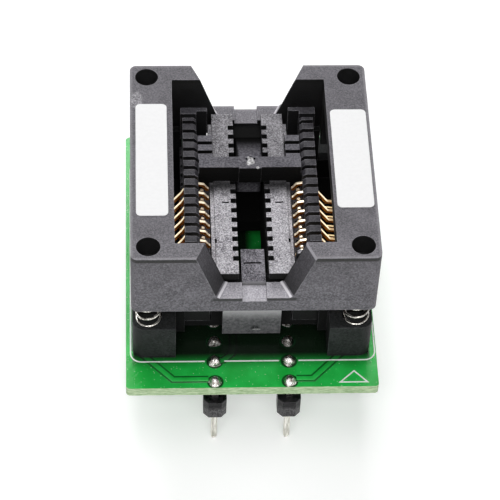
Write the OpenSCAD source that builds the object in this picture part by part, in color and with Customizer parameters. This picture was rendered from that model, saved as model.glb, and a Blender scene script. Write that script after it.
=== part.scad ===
// Open-top test socket for small-outline chips, on an adapter board with a pin header.
// Z = 0 is the plane of the header pins' tips, X = Y = 0 is the middle of the socket,
// and -Y is the end with the loaded contacts. Sizes run outwards from the chip's seat:
// seat, contact rows, levers, hooks, frame and board each stand off the one before.

/* [Chip seat] */
// Width of the seat, the chip's body width
seat_w = 7.5; // [6.5:0.05:9]
// Width of the slot along the seat
seat_slot_w = 3.0; // [2.8:0.05:3.4]
// Width of the shelf beside the seat
shelf_w = 0.4; // [0.3:0.05:0.8]
// Step from the seat down to its shelf
shelf_drop = 0.4; // [0.2:0.05:0.6]
// Overhang of the seat past the contact blocks
seat_over = 1.125; // [0.9:0.005:1.5]
// Thickness of the seat's overhanging ends
seat_lip_t = 0.9; // [0.6:0.1:1]
// Height of the seat over the contacts' knuckles
seat_rise = 2.25; // [2.1:0.05:2.4]
// Width of a notch in the seat's inner edges
notch_w = 0.6; // [0.4:0.05:0.7]
// Depth of a notch from the slot's edge
notch_d = 0.55; // [0.3:0.05:0.7]
// How far the notches reach down
notch_drop = 2.2; // [1:0.1:3]
// Gap on each side of the tongue between the seats
tongue_gap = 0.3; // [0.2:0.05:0.5]
// Length of the tongue
tongue_l = 4.2; // [3:0.1:5]

/* [Contacts] */
// Pitch of the contacts
contact_pitch = 1.27; // [1.1:0.01:1.5]
// Slots in each row
slots_per_row = 14; // [12:1:16]
// Contacts fitted in each row, from the front
contacts_per_row = 8; // [4:1:8]
// Sheet thickness of a contact
contact_t = 0.3; // [0.2:0.01:0.4]
// Width of a contact strip
contact_w = 0.32; // [0.24:0.01:0.36]
// Radius of the round knuckle where an arm turns
hub_r = 0.45; // [0.4:0.01:0.5]
// Running gap round the knuckle
hub_gap = 0.04; // [0.02:0.01:0.08]
// Height of the knuckles above the board
pivot_z = 8.6; // [8:0.1:10]
// Distance of the knuckles from the contact block's inner face
pivot_in = 2.25; // [2.2:0.05:2.4]
// Reach of a finger's tip inwards from the knuckle
tip_reach = 2.05; // [1.95:0.01:2.1]
// Rise of a finger's tip over the knuckle
tip_rise = 1.95; // [1.85:0.01:2.05]
// Radius of a finger's rounded tip
tip_r = 0.21; // [0.17:0.01:0.24]
// Reach of an arm's peak inwards from the knuckle
peak_in = 0.21; // [0.1:0.01:0.3]
// Rise of an arm's peak over the knuckle
peak_rise = 2.8; // [2.7:0.02:3]
// Drop of the finger from the arm's peak to its kink
kink_drop = 0.22; // [0.1:0.02:0.3]
// Reach of the finger's kink inwards from the knuckle
kink_reach = 1.65; // [1.5:0.01:1.75]
// Reach of the lever's knee outwards from the knuckle
knee_reach = 1.5; // [1.4:0.02:1.6]
// Drop of the lever's knee below the knuckle
knee_drop = 0.2; // [0.1:0.02:0.3]
// Reach of the lever's end outwards from the knuckle
lever_reach = 3.4; // [3.2:0.05:3.8]
// Drop of the lever's end below its knee
lever_drop = 0.22; // [0.1:0.02:0.3]
// Drop of the curl at the lever's end
curl_drop = 0.9; // [0.8:0.05:1]
// Reach of the curl back under the lever
curl_back = 1.1; // [0.9:0.05:1.3]
// Rise of the lower finger over the knuckle
low_finger_rise = 1.78; // [1.5:0.02:1.8]
// Reach of the lower finger inwards from the knuckle
low_finger_reach = 1.57; // [1.5:0.01:1.62]
// Distance of the inner row of tails from the knuckles
tail_in = 1.15; // [1:0.05:1.2]
// Distance of the outer row of tails from the knuckles
tail_out = 0.05; // [0:0.05:0.1]
// Length of a tail below the board
tail_below = 0.9; // [0.4:0.1:1.5]
// Clearance round a tail in the board
tail_clear = 0.12; // [0.08:0.01:0.2]

/* [Contact blocks] */
// Clearance of a contact in its slot, over both sides
slot_clear = 0.15; // [0.1:0.01:0.2]
// Width of the bay for the fingers
bay_w = 1.1; // [1:0.05:1.3]
// Width of the comb's flat top
comb_w = 1.15; // [1.1:0.05:1.3]
// Bevel along the comb's inner edge
comb_bevel = 0.35; // [0.2:0.05:0.5]
// Height of the comb over the seat
comb_rise = 1.6; // [1.3:0.05:2]
// Step from the comb's outer face to the block's
block_step = 0.2; // [0.1:0.05:0.4]
// Length of a contact block past its last slots
block_end = 1.495; // [1.3:0.005:1.8]
// Drop of the block's inner ledge below the seat
ledge_drop = 1.25; // [1:0.05:1.5]
// Rise of the wall at the rear of each comb over the comb
end_wall_rise = 0.6; // [0.4:0.05:1]
// Thickness of the wall between the slots and the seat's shelf
bay_wall_t = 0.25; // [0.15:0.05:0.3]
// Thickness of the wall at the rear of each comb
end_wall_t = 0.9; // [0.7:0.05:1]
// Thickness of that wall on the comb's inner side
end_wall_inner_t = 0.5; // [0.4:0.05:0.6]

/* [Socket base] */
// Step from the frame's sides in to the base's
base_inset = 0.1; // [0.05:0.05:0.3]
// Width of a corner block
corner_w = 4.4; // [4.2:0.1:4.6]
// Radius of a corner block's outer edge
corner_r = 1.2; // [0.6:0.1:1.4]
// Gap under the floor of the base
floor_gap = 1.0; // [0.6:0.1:1.5]
// Thickness of the floor
floor_t = 0.8; // [0.6:0.1:1]
// Height of the side walls over the corner blocks
side_wall_rise = 0.7; // [0.2:0.1:0.9]
// Thickness of the side walls
side_wall_t = 1.3; // [1:0.1:1.4]
// Width of the tab at each end
tab_w = 6.0; // [5:0.1:6.4]
// Drop of the tab's top below the frame's sill
tab_drop = 0.8; // [0.5:0.1:1.5]
// Length of the webs beside the contact blocks' ends
web_l = 0.8; // [0.6:0.05:0.85]
// Width of those webs
web_w = 1.0; // [0.8:0.05:1.2]
// Height of those webs over the knuckles
web_rise = 0.7; // [0.4:0.05:1]
// Drop of the tongue's top below the frame's sill
tongue_drop = 0.1; // [0:0.05:0.4]

/* [Press frame] */
// Height of the frame's end walls
frame_h = 8.2; // [7.8:0.1:9]
// Drop of the end walls' lower edge below the knuckles
frame_drop = 0.9; // [0.7:0.05:1]
// Drop of the side walls' lower edge below the knuckles
side_drop = 0.5; // [0.3:0.05:0.6]
// Travel of the frame
travel = 2.0; // [1:0.1:2.2]
// Room left under the frame at the end of its travel
travel_room = 1.0; // [0.5:0.1:1.5]
// Gap from the contact blocks to the opening's sides
opening_side_gap = 0.9; // [0.85:0.05:1]
// Gap from the seat to the opening's ends
opening_end_gap = 0.175; // [0.12:0.005:0.3]
// Thickness of the end walls
end_t = 2.05; // [1.8:0.05:2.6]
// Thickness of the side walls
frame_wall_t = 1.05; // [0.9:0.05:1.4]
// Radius of the frame's outer corners
frame_r = 0.7; // [0.4:0.1:1.2]
// Thickness of the roof
roof_t = 2.0; // [1.6:0.1:2.4]
// Half width of a notch at the top of its outer face
v_top = 5.9; // [5.5:0.1:6.2]
// Height of the notch's sill over the end wall's lower edge
sill_rise = 2.0; // [1.8:0.1:2.4]
// Lean of the notch's sides, across per height
v_lean = 0.343; // [0.2:0.01:0.4]
// Flare of the notch's sides, across per depth
v_flare = 0.44; // [0.3:0.01:0.5]
// Width of the channel in the sill
channel_w = 2.44; // [2:0.02:2.6]
// Depth of the channel in the sill
channel_d = 0.5; // [0.2:0.05:0.7]
// Bevel between the sill and the notch's sides
sill_bevel = 0.3; // [0.1:0.05:0.4]
// Diameter of the round holes in the roof
hole_d = 2.4; // [2:0.1:2.6]
// Depth of the round holes
hole_depth = 2.6; // [2:0.1:2.8]
// Distance of the holes from the frame's sides
hole_side = 1.75; // [1.7:0.05:1.9]
// Distance of the holes from the frame's ends
hole_end = 1.65; // [1.6:0.05:1.8]
// Wall round the inside of a spring's pocket
column_t = 0.6; // [0.4:0.05:0.8]
// Setback of the rib that works the levers from their ends
rib_in = 0.8; // [0.7:0.05:0.9]
// Thickness of that rib
rib_t = 0.6; // [0.4:0.05:0.7]
// Height of that rib's lower edge over the knuckles
rib_rise = 0.7; // [0.7:0.05:0.9]

/* [Retaining hooks] */
// Room between the levers' ends and the hooks
lever_room = 0.35; // [0.25:0.05:0.6]
// Hook distance from the middle, along
hook_y = 5.2; // [4.4:0.1:6]
// Width of a hook
hook_w = 2.0; // [1.5:0.1:2.5]
// Thickness of a hook's arm
hook_t = 0.5; // [0.4:0.05:0.7]
// Height of a hook's barb
barb_h = 0.75; // [0.5:0.05:0.9]
// Height of the catch in the frame's side wall
catch_h = 0.7; // [0.5:0.05:0.75]
// Step of the catch from the side wall
catch_step = 0.4; // [0.3:0.05:0.6]

/* [Springs] */
// Outer diameter of a spring
spring_d = 2.7; // [2.4:0.05:2.8]
// Wire diameter of a spring
wire_d = 0.26; // [0.2:0.02:0.4]
// Turns of a spring
spring_turns = 7.5; // [5:0.5:9]
// Clearance of a spring in its pocket, over both sides
pocket_clear = 0.3; // [0.2:0.05:0.4]
// Web between a spring's pocket and the hole above it
pocket_web = 0.7; // [0.4:0.1:1]
// Depth of the spring's seat in the corner block
spring_seat = 0.3; // [0.1:0.05:0.6]

/* [Stop insert] */
// Room between the last contact and the stop bar
stop_room = 0.865; // [0.7:0.005:1.2]
// Thickness of the stop bar
stop_t = 1.45; // [1:0.05:2]
// Height of the stop bar over the seat
stop_rise = 2.05; // [1.6:0.05:2.3]
// Depth of the groove across the seat that holds the stop bar
stop_groove = 0.2; // [0.1:0.05:0.3]
// Gap at each end of the stop bar
stop_end_gap = 0.1; // [0.05:0.05:0.3]
// Width of the block at the middle of the bar
stop_block_w = 2.3; // [1.5:0.1:3]
// Step of that block in front of the bar
stop_block_step = 0.15; // [0.05:0.05:0.4]
// Height of the side arms over the seat
stop_arm_rise = 1.15; // [0.8:0.05:1.3]
// Length of the side arms
stop_arm_l = 5.5; // [5:0.1:5.8]

/* [Labels] */
// Width of the left label
left_label_w = 3.2; // [2.5:0.1:3.6]
// Length of the left label
left_label_l = 15.1; // [10:0.1:16]
// Width of the right label
right_label_w = 3.7; // [2.5:0.1:3.9]
// Length of the right label
right_label_l = 13.3; // [10:0.1:16]
// Thickness of a label
label_t = 0.08; // [0.05:0.01:0.15]
// Radius of a label's corners
label_r = 0.5; // [0.3:0.1:1]

/* [Pin header] */
// Pitch of the header pins
header_pitch = 2.54; // [2.5:0.01:2.6]
// Distance between the two rows of pins
header_row_gap = 7.62; // [7.4:0.01:7.8]
// Pins fitted in each row, from the front
header_pins = 8; // [4:1:10]
// Side of a square pin
pin_side = 0.64; // [0.5:0.01:0.7]
// Free length of a pin below its insulator
pin_reach = 5.3; // [3:0.1:8]
// Length of the tapered tip of a pin
pin_tip_l = 0.6; // [0.2:0.1:1.2]
// Height of the header insulator
insulator_h = 2.5; // [1.5:0.1:2.6]
// Width of the header insulator
insulator_w = 2.4; // [2:0.05:2.54]
// Corner cut of each insulator segment
insulator_cut = 0.55; // [0.3:0.05:0.8]
// Gap between the insulator and the board
insulator_gap = 0.8; // [0.2:0.1:2]
// Width of a solder joint's rim round its hole
solder_rim = 0.17; // [0.1:0.01:0.3]
// Height of a solder joint
solder_h = 0.6; // [0.5:0.05:0.65]

/* [Adapter board] */
// Margin of the board past the frame's sides
board_side = 0.6; // [0.3:0.1:3]
// Offset of the board and its header towards the rear
board_back = 0.25; // [-0.5:0.05:0.5]
// Margin of the board past its first and last header holes
board_end = 0.74; // [0.7:0.02:3]
// Thickness of the board
board_t = 1.2; // [0.8:0.1:2]
// Radius of the board's corners
board_corner_r = 0.4; // [0.2:0.1:2]
// Header holes in each row of the board
board_holes = 14; // [12:1:16]
// Clearance of a pin's corners in its hole
pin_clear = 0.095; // [0.06:0.005:0.2]

/* [Hidden] */
$fn = 48;
// Clearance between pieces that slide or drop in
gap = 0.05;
// Overlap used when one shape cuts another
eps = 0.5;

// Across the socket, from the seat outwards
shelf_x = seat_w / 2 + shelf_w;
block_in = shelf_x + 2 * gap;
comb_face = block_in + bay_w;
comb_in = comb_face + comb_bevel;
comb_out = comb_in + comb_w;
block_out = comb_out + block_step;
pivot_x = block_in + pivot_in;
tail_inner_x = pivot_x - tail_in;
tail_outer_x = pivot_x + tail_out;
lever_x = pivot_x + lever_reach;
hook_back = lever_x + lever_room;
hook_face = hook_back + hook_t;
catch_face = hook_face + 2 * gap;
side_face = catch_face + catch_step;
frame_w = 2 * (side_face + frame_wall_t);
opening_w = 2 * (block_out + opening_side_gap);
rib_x = lever_x - rib_in;
hole_x = frame_w / 2 - hole_side;
base_w = frame_w - 2 * base_inset;
board_w = frame_w + 2 * board_side;
rail_mid = (opening_w + frame_w) / 4;
stop_w = 2 * (comb_face - stop_end_gap);

// Along the socket, from the contact rows outwards
slot_w = contact_t + slot_clear;
block_l = (slots_per_row - 1) * contact_pitch + 2 * block_end;
seat_l = block_l + 2 * seat_over;
opening_l = seat_l + 2 * opening_end_gap;
frame_l = opening_l + 2 * end_t;
base_l = frame_l;
hole_y = frame_l / 2 - hole_end;
board_l = (board_holes - 1) * header_pitch + 2 * board_end;
stop_y = (contacts_per_row - (slots_per_row + 1) / 2) * contact_pitch + stop_room;
stop_arm_end = stop_y + stop_arm_l;

// Heights above the board, from the knuckles
seat_z = pivot_z + seat_rise;
ledge_z = seat_z - ledge_drop;
comb_top = seat_z + comb_rise;
end_wall_top = comb_top + end_wall_rise;
stop_top = seat_z + stop_rise;
stop_foot = seat_z - stop_groove;
stop_arm_top = seat_z + stop_arm_rise;
frame_bottom = pivot_z - frame_drop;
frame_top = frame_bottom + frame_h;
side_bottom = pivot_z - side_drop;
catch_top = side_bottom + catch_h;
rib_bottom = pivot_z + rib_rise;
sill_z = frame_bottom + sill_rise;
tab_top = sill_z - tab_drop;
tongue_top = sill_z - tongue_drop;
corner_h = frame_bottom - travel - travel_room;
side_wall_top = corner_h + side_wall_rise;
floor_top = floor_gap + floor_t;
pocket_top = frame_top - hole_depth - pocket_web;
pocket_d = spring_d + pocket_clear;
spring_base = corner_h - spring_seat;
spring_l = pocket_top - spring_base;
board_top = pin_reach + insulator_h + insulator_gap + board_t;

pivot = [pivot_x, pivot_z];
cup_in = hub_r + hub_gap;
cup_r = cup_in + contact_w;
header_hole_d = pin_side * sqrt(2) + pin_clear;
insulator_core = (insulator_w - 2 * insulator_cut + pin_side + gap) / 2;
solder_d = header_hole_d + 2 * solder_rim;
tail_hole_d = norm([contact_t, contact_w]) + 2 * tail_clear;
tail_slot = contact_w + 2 * slot_clear;
SIDES = ["left", "right"];
ENDS = ["front", "rear"];

function slot_y(k) = (k - (slots_per_row + 1) / 2) * contact_pitch;
function pin_y(k) = board_back + (k - (board_holes + 1) / 2) * header_pitch;
function tail_x(k) = k % 2 == 0 ? tail_outer_x : tail_inner_x;
function unit(v) = v / norm(v);
function turned(v) = [-v.y, v.x];
function side_normal(p, i) =
    let (n = len(p) - 1)
    let (a = turned(unit(i > 0 ? p[i] - p[i - 1] : p[1] - p[0])))
    let (b = turned(unit(i < n ? p[i + 1] - p[i] : p[n] - p[n - 1])))
    (a + b) / (1 + a * b);

// Put a shape of the right-hand side on its own side
module on_side(side) {
    if (side == "left") mirror([1, 0, 0]) children();
    else children();
}

// Repeat a shape of the front right corner at all four corners
module at_corners() {
    for (sx = [0, 1]) for (sy = [0, 1])
        mirror([sx, 0, 0]) mirror([0, sy, 0]) children();
}

// Box from one corner to the other
module block(from, to) {
    translate(from) cube(to - from);
}

// Rectangle about the origin with round corners
module round_rect(w, l, r) {
    square([w - 2 * r, l], center = true);
    square([w, l - 2 * r], center = true);
    for (sx = [-1, 1]) for (sy = [-1, 1])
        translate([sx * (w / 2 - r), sy * (l / 2 - r)]) circle(r);
}

// Strip of even width along a line of points
module strip(p, w) {
    polygon(concat(
        [for (i = [0:len(p) - 1]) p[i] + side_normal(p, i) * w / 2],
        [for (i = [len(p) - 1:-1:0]) p[i] - side_normal(p, i) * w / 2]
    ));
}

// Outline in X and Z, made into a sheet across Y
module sheet(y, t) {
    translate([0, y, 0]) rotate([90, 0, 0]) linear_extrude(t, center = true) children();
}

// Adapter board with its header holes and contact tail holes
module circuit_board() {
    color("forestgreen") translate([0, 0, board_top - board_t]) difference() {
        translate([0, board_back, 0]) linear_extrude(board_t) round_rect(board_w, board_l, board_corner_r);
        for (s = SIDES) on_side(s) {
            for (k = [1:board_holes])
                translate([header_row_gap / 2, pin_y(k), -eps])
                    cylinder(d = header_hole_d, h = board_t + 2 * eps);
            for (k = [1:slots_per_row])
                translate([tail_x(k), slot_y(k), -eps]) cylinder(d = tail_hole_d, h = board_t + 2 * eps);
        }
    }
}

// One segment of the header insulator, an eight-sided outline
module insulator_segment() {
    x = insulator_w / 2;
    y = header_pitch / 2;
    c = insulator_cut;
    polygon([
        [x, y - c], [x - c, y], [c - x, y], [-x, y - c],
        [-x, c - y], [c - x, -y], [x - c, -y], [x, c - y]
    ]);
}

module header(side) {
    color("black") on_side(side) translate([header_row_gap / 2, 0, pin_reach]) linear_extrude(insulator_h)
        difference() {
            union() {
                for (k = [1:header_pins]) translate([0, pin_y(k)]) insulator_segment();
                translate([-insulator_core / 2, pin_y(1)])
                    square([insulator_core, pin_y(header_pins) - pin_y(1)]);
            }
            for (k = [1:header_pins]) translate([0, pin_y(k)]) square(pin_side + gap, center = true);
        }
}

// Side view of a pin with its tapered tip
module pin_outline() {
    top = board_top + solder_h / 2;
    a = pin_side / 2;
    polygon([[-a / 2, 0], [a / 2, 0], [a, pin_tip_l], [a, top], [-a, top], [-a, pin_tip_l]]);
}

module header_pin() {
    intersection() {
        sheet(0, pin_side) pin_outline();
        rotate(90) sheet(0, pin_side) pin_outline();
    }
}

module header_pin_row(side) {
    color("silver") on_side(side)
        for (k = [1:header_pins]) translate([header_row_gap / 2, pin_y(k), 0]) header_pin();
}

// Domes of solder over the pins' upper ends
module solder_row(side) {
    dome_r = (pow(solder_d / 2, 2) + pow(solder_h, 2)) / (2 * solder_h);
    color("silver") on_side(side) for (k = [1:header_pins])
        translate([header_row_gap / 2, pin_y(k), board_top]) difference() {
            translate([0, 0, solder_h - dome_r]) sphere(dome_r);
            translate([0, 0, -2 * dome_r]) cube(4 * dome_r, center = true);
            cube([pin_side + gap, pin_side + gap, solder_h + gap], center = true);
        }
}

// Corner block that carries a spring
module corner_block() {
    difference() {
        translate([base_w / 2 - corner_w, block_l / 2, 0]) {
            linear_extrude(corner_h) difference() {
                square([corner_w, base_l / 2 - block_l / 2]);
                translate([corner_w - corner_r, base_l / 2 - block_l / 2 - corner_r]) square(2 * corner_r);
            }
            translate([corner_w - corner_r, base_l / 2 - block_l / 2 - corner_r])
                cylinder(r = corner_r, h = corner_h);
        }
        translate([hole_x, hole_y, spring_base]) cylinder(d = spring_d + 2 * gap, h = spring_seat + eps);
    }
}

// One half of the chip seat on its pedestal, with a notched inner edge
module seat_half() {
    inner = seat_slot_w / 2;
    outer = seat_w / 2;
    end = seat_l / 2;
    neck = block_l / 2;
    difference() {
        union() {
            block([inner, -end, seat_z - seat_lip_t], [outer, end, seat_z]);
            block([outer - gap, -neck, floor_gap], [shelf_x, neck, seat_z - shelf_drop]);
            block([inner, -neck, floor_gap], [outer, neck, seat_z - gap]);
        }
        for (i = [0:slots_per_row])
            translate([inner, slot_y(i + 0.5), seat_z])
                cube([2 * notch_d, notch_w, 2 * notch_drop], center = true);
        block([inner - eps, stop_y - gap, stop_foot], [outer + eps, stop_y + stop_t + gap, seat_z + eps]);
    }
}

// Hook that holds the frame down against its springs
module frame_hook() {
    block([hook_back, hook_y - hook_w / 2, floor_gap],
          [hook_face, hook_y + hook_w / 2, catch_top + gap + barb_h]);
    block([hook_face - gap, hook_y - hook_w / 2, catch_top + gap],
          [side_face - 2 * gap, hook_y + hook_w / 2, catch_top + gap + barb_h]);
}

// Web that stands on a corner block's inner side and closes the gap beside the contact block's end
module corner_web() {
    out = opening_w / 2 - 2 * gap;
    block([out - web_w, block_l / 2 + gap, floor_gap], [out, block_l / 2 + web_l, pivot_z + web_rise]);
}

// Tab of the base below each end of the seat
module end_tab() {
    block([-tab_w / 2, block_l / 2 - eps, floor_gap], [tab_w / 2, seat_l / 2, tab_top]);
}

module socket_base() {
    slot_in = seat_slot_w / 2;
    tongue_x = slot_in - tongue_gap;
    color("dimgray") translate([0, 0, board_top]) difference() {
        union() {
            at_corners() corner_block();
            for (sx = [0, 1]) mirror([sx, 0, 0]) {
                seat_half();
                block([slot_in, -block_l / 2, floor_gap], [base_w / 2 - gap, block_l / 2, floor_top]);
                block([base_w / 2 - side_wall_t, -block_l / 2 - eps, floor_gap],
                      [base_w / 2 - gap, block_l / 2 + eps, side_wall_top]);
            }
            for (sy = [0, 1]) mirror([0, sy, 0]) end_tab();
            block([-tongue_x, -seat_l / 2, floor_gap], [tongue_x, tongue_l - seat_l / 2, tongue_top]);
            block([-slot_in, stop_y + stop_t, floor_gap], [slot_in, block_l / 2, floor_top + floor_t]);
            at_corners() frame_hook();
            at_corners() corner_web();
        }
        for (s = SIDES) on_side(s) for (k = [1:slots_per_row])
            translate([tail_x(k), slot_y(k), floor_gap]) cube([tail_slot, slot_w, 4 * floor_t], center = true);
    }
}

// Row of slots with the comb that parts the contacts
module contact_block(side) {
    half = block_l / 2;
    color("dimgray") translate([0, 0, board_top]) on_side(side) difference() {
        union() {
            sheet(0, block_l) polygon([
                [block_in, floor_top], [block_out, floor_top], [block_out, pivot_z - 2 * cup_r],
                [comb_out, pivot_z - 2 * cup_r], [comb_out, comb_top], [comb_in, comb_top],
                [comb_face, comb_top - comb_bevel], [comb_face, ledge_z], [block_in, ledge_z]
            ]);
            block([block_in, half - end_wall_inner_t, ledge_z - eps], [block_out, half, end_wall_top]);
            block([comb_face + gap, half - end_wall_t, ledge_z - eps], [block_out, half - gap, end_wall_top]);
        }
        for (k = [1:slots_per_row]) {
            y = slot_y(k);
            block([block_in + bay_wall_t, y - slot_w / 2, floor_top + floor_t],
                  [block_out + eps, y + slot_w / 2, comb_top + eps]);
            translate([tail_x(k), y, floor_top]) cube([tail_slot, slot_w, 4 * floor_t], center = true);
        }
        // Pit between the end wall and the stop insert's side arms
        block([block_in + gap, stop_arm_end + gap, ledge_z - eps],
              [comb_face + gap, half - end_wall_inner_t, comb_top + eps]);
    }
}

// Bar that stops a chip's end, with two side arms over the empty slots
module stop_insert() {
    back = stop_y + stop_t;
    color("gray") translate([0, 0, board_top]) difference() {
        union() {
            block([-stop_w / 2, stop_y, stop_foot], [stop_w / 2, back, stop_top]);
            block([-stop_block_w / 2, stop_y - stop_block_step, stop_foot],
                  [stop_block_w / 2, back, stop_top]);
            for (sx = [0, 1]) mirror([sx, 0, 0]) {
                block([block_in, stop_y, ledge_z], [comb_face - gap, stop_arm_end, stop_arm_top]);
                block([seat_w / 2 + gap, stop_y, seat_z - shelf_drop + gap],
                      [block_in + gap, stop_arm_end, stop_arm_top]);
            }
        }
        for (k = [contacts_per_row + 2:slots_per_row]) translate([0, slot_y(k), stop_arm_top])
            cube([frame_w, slot_w, 2 * (stop_arm_top - seat_z)], center = true);
    }
}

// Plan of the frame with its opening
module frame_plan() {
    difference() {
        round_rect(frame_w, frame_l, frame_r);
        square([opening_w, opening_l], center = true);
    }
}

// Flared notch through an end wall, wider at its top and its outer face, with a bevel along its sill
module v_notch() {
    y0 = opening_l / 2 - eps;
    y1 = frame_l / 2 + eps;
    z1 = frame_top + eps;
    z0 = sill_z + sill_bevel;
    function half_w(y, z) = v_top - (frame_top - z) * v_lean - (frame_l / 2 - y) * v_flare;
    function sill_w(y) = half_w(y, sill_z) - sill_bevel;
    function outline(y) = [
        [-sill_w(y), y, sill_z], [sill_w(y), y, sill_z], [half_w(y, z0), y, z0],
        [half_w(y, z1), y, z1], [-half_w(y, z1), y, z1], [-half_w(y, z0), y, z0]
    ];
    n = 6;
    walls = [for (i = [0:n - 1]) let (j = (i + 1) % n) [j, j + n, i + n, i]];
    first = [for (i = [n - 1:-1:0]) i];
    last = [for (i = [0:n - 1]) i + n];
    polyhedron(concat(outline(y0), outline(y1)), concat(walls, [first, last]));
}

module press_frame() {
    column = [hole_x - pocket_d / 2 - column_t, hole_y - pocket_d / 2 - column_t];
    color("dimgray") translate([0, 0, board_top]) difference() {
        union() {
            difference() {
                translate([0, 0, frame_bottom]) linear_extrude(frame_top - frame_bottom) frame_plan();
                for (sx = [0, 1]) mirror([sx, 0, 0]) {
                    // Hollow under the rail, open to the contacts
                    block([opening_w / 2 - eps, -column.y, frame_bottom - eps],
                          [side_face, column.y, frame_top - roof_t]);
                    block([opening_w / 2 - eps, -column.y, frame_bottom - eps],
                          [frame_w / 2 + eps, column.y, side_bottom]);
                }
            }
            for (sx = [0, 1]) mirror([sx, 0, 0])
                block([rib_x, -column.y - gap, rib_bottom],
                      [rib_x + rib_t, column.y + gap, frame_top - roof_t + gap]);
            at_corners()
                block([catch_face, hook_y - hook_w, side_bottom],
                      [side_face + gap, hook_y + hook_w, catch_top]);
        }
        at_corners() {
            translate([hole_x, hole_y, frame_bottom - eps])
                cylinder(d = pocket_d, h = pocket_top - frame_bottom + eps);
            translate([hole_x, hole_y, frame_top - hole_depth]) cylinder(d = hole_d, h = hole_depth + eps);
        }
        for (sy = [0, 1]) mirror([0, sy, 0]) {
            v_notch();
            block([-channel_w / 2, opening_l / 2 - eps, sill_z - channel_d],
                  [channel_w / 2, frame_l / 2 + eps, sill_z + eps]);
        }
    }
}

module label(side, w, l) {
    color("white") on_side(side) translate([rail_mid, 0, board_top + frame_top])
        linear_extrude(label_t) round_rect(w, l, label_r);
}

// Coil swept along a helix, with flat closed ends
module coil(d, wire, height, turns) {
    around = 16;
    sides = 6;
    n = floor(turns * around);
    rise = (height - wire) / n;
    ring_r = (d - wire) / 2;
    p = [for (i = [0:n]) for (j = [0:sides - 1])
        let (a = 360 * i / around)
        let (b = 360 * j / sides)
        let (r = ring_r + wire / 2 * cos(b))
        [r * cos(a), r * sin(a), wire / 2 + i * rise + wire / 2 * sin(b)]];
    walls = [for (i = [0:n - 1]) for (j = [0:sides - 1])
        let (k = (j + 1) % sides)
        [i * sides + j, i * sides + k, (i + 1) * sides + k, (i + 1) * sides + j]];
    first = [for (j = [sides - 1:-1:0]) j];
    last = [for (j = [0:sides - 1]) n * sides + j];
    polyhedron(p, concat(walls, [first, last]));
}

module spring(end, side) {
    y = end == "front" ? -hole_y : hole_y;
    color("silver") on_side(side) translate([hole_x, y, board_top + spring_base])
        coil(spring_d, wire_d, spring_l, spring_turns);
}

// Fixed half of a contact: tail, foot, post, cup round the knuckle and lower finger
module contact_sheet(k) {
    shoulder = floor_top + 2 * floor_t;
    tail_end = -board_t - tail_below;
    foot = [min(tail_x(k), pivot_x) - contact_w / 2, shoulder - contact_w];
    finger = pivot + [-cup_in - contact_w / 2, -contact_w];
    low_tip = pivot + [-low_finger_reach, low_finger_rise];
    y = slot_y(k);
    sheet(y, contact_t) strip([[tail_x(k), tail_end], [tail_x(k), shoulder]], contact_w);
    sheet(y, contact_t) translate(foot) square([abs(tail_x(k) - pivot_x) + contact_w, 2 * contact_w]);
    sheet(y, contact_t) strip([[pivot_x, shoulder], pivot - [0, cup_in + contact_w / 2]], contact_w);
    difference() {
        sheet(y, contact_t) translate(pivot) circle(cup_r);
        sheet(y, 2 * contact_t) translate(pivot) circle(cup_in);
        sheet(y, 2 * contact_t) translate(pivot - [2 * cup_r, 0]) square([4 * cup_r, 2 * cup_r]);
    }
    sheet(y, contact_t) strip([finger, (finger + low_tip) / 2 + [-contact_w / 4, 0], low_tip], contact_w);
}

// Moving half of a contact: knuckle, finger with its tip, outer slope and lever
module arm_sheet(k) {
    tip = pivot + [-tip_reach, tip_rise];
    peak = pivot + [-peak_in, peak_rise];
    kink = [pivot_x - kink_reach, peak.y - kink_drop];
    bend = [(kink.x + peak.x * 2) / 3, peak.y];
    knee = pivot + [knee_reach, -knee_drop];
    slope = (peak + knee) / 2 + [-contact_w / 2, 0];
    curl_x = lever_x - contact_w / 2;
    lever = [curl_x - curl_drop / 2, knee.y - lever_drop];
    curl = [
        lever, [curl_x, lever.y - curl_drop / 4], [curl_x, lever.y - curl_drop * 3 / 4],
        lever - [0, curl_drop], [lever_x - curl_back, lever.y - curl_drop]
    ];
    y = slot_y(k);
    sheet(y, contact_t) strip(concat([tip, kink, bend, peak, slope, knee], curl), contact_w);
    sheet(y, contact_t) strip([pivot, peak], contact_w);
    sheet(y, contact_t) translate(tip) circle(tip_r);
    sheet(y, contact_t) translate(pivot) circle(hub_r);
}

module contact(side, k) {
    color("goldenrod") translate([0, 0, board_top]) on_side(side) contact_sheet(k);
}

module contact_arm(side, k) {
    color("gold") translate([0, 0, board_top]) on_side(side) arm_sheet(k);
}

circuit_board();
for (s = SIDES) header(s);
for (s = SIDES) header_pin_row(s);
for (s = SIDES) solder_row(s);
socket_base();
for (s = SIDES) contact_block(s);
stop_insert();
press_frame();
label("left", left_label_w, left_label_l);  // left_label
label("right", right_label_w, right_label_l);  // right_label
for (e = ENDS) for (s = SIDES) spring(e, s);
for (s = SIDES) for (k = [1:contacts_per_row])
    contact(s, k);
for (s = SIDES) for (k = [1:contacts_per_row])
    contact_arm(s, k);
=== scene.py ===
# %% [markdown]
# # A chip test socket on its adapter board
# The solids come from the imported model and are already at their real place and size. This lesson gives
# every surface its finish, adds what is too thin to be a solid, such as print, pads and solder, and sets
# up the camera and light of a plain product photograph. All lengths below are written in millimetres and
# scaled by `MM`.

# %% Load the frame
import bmesh
import bpy
import math
from mathutils import Matrix, Vector, noise


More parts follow.
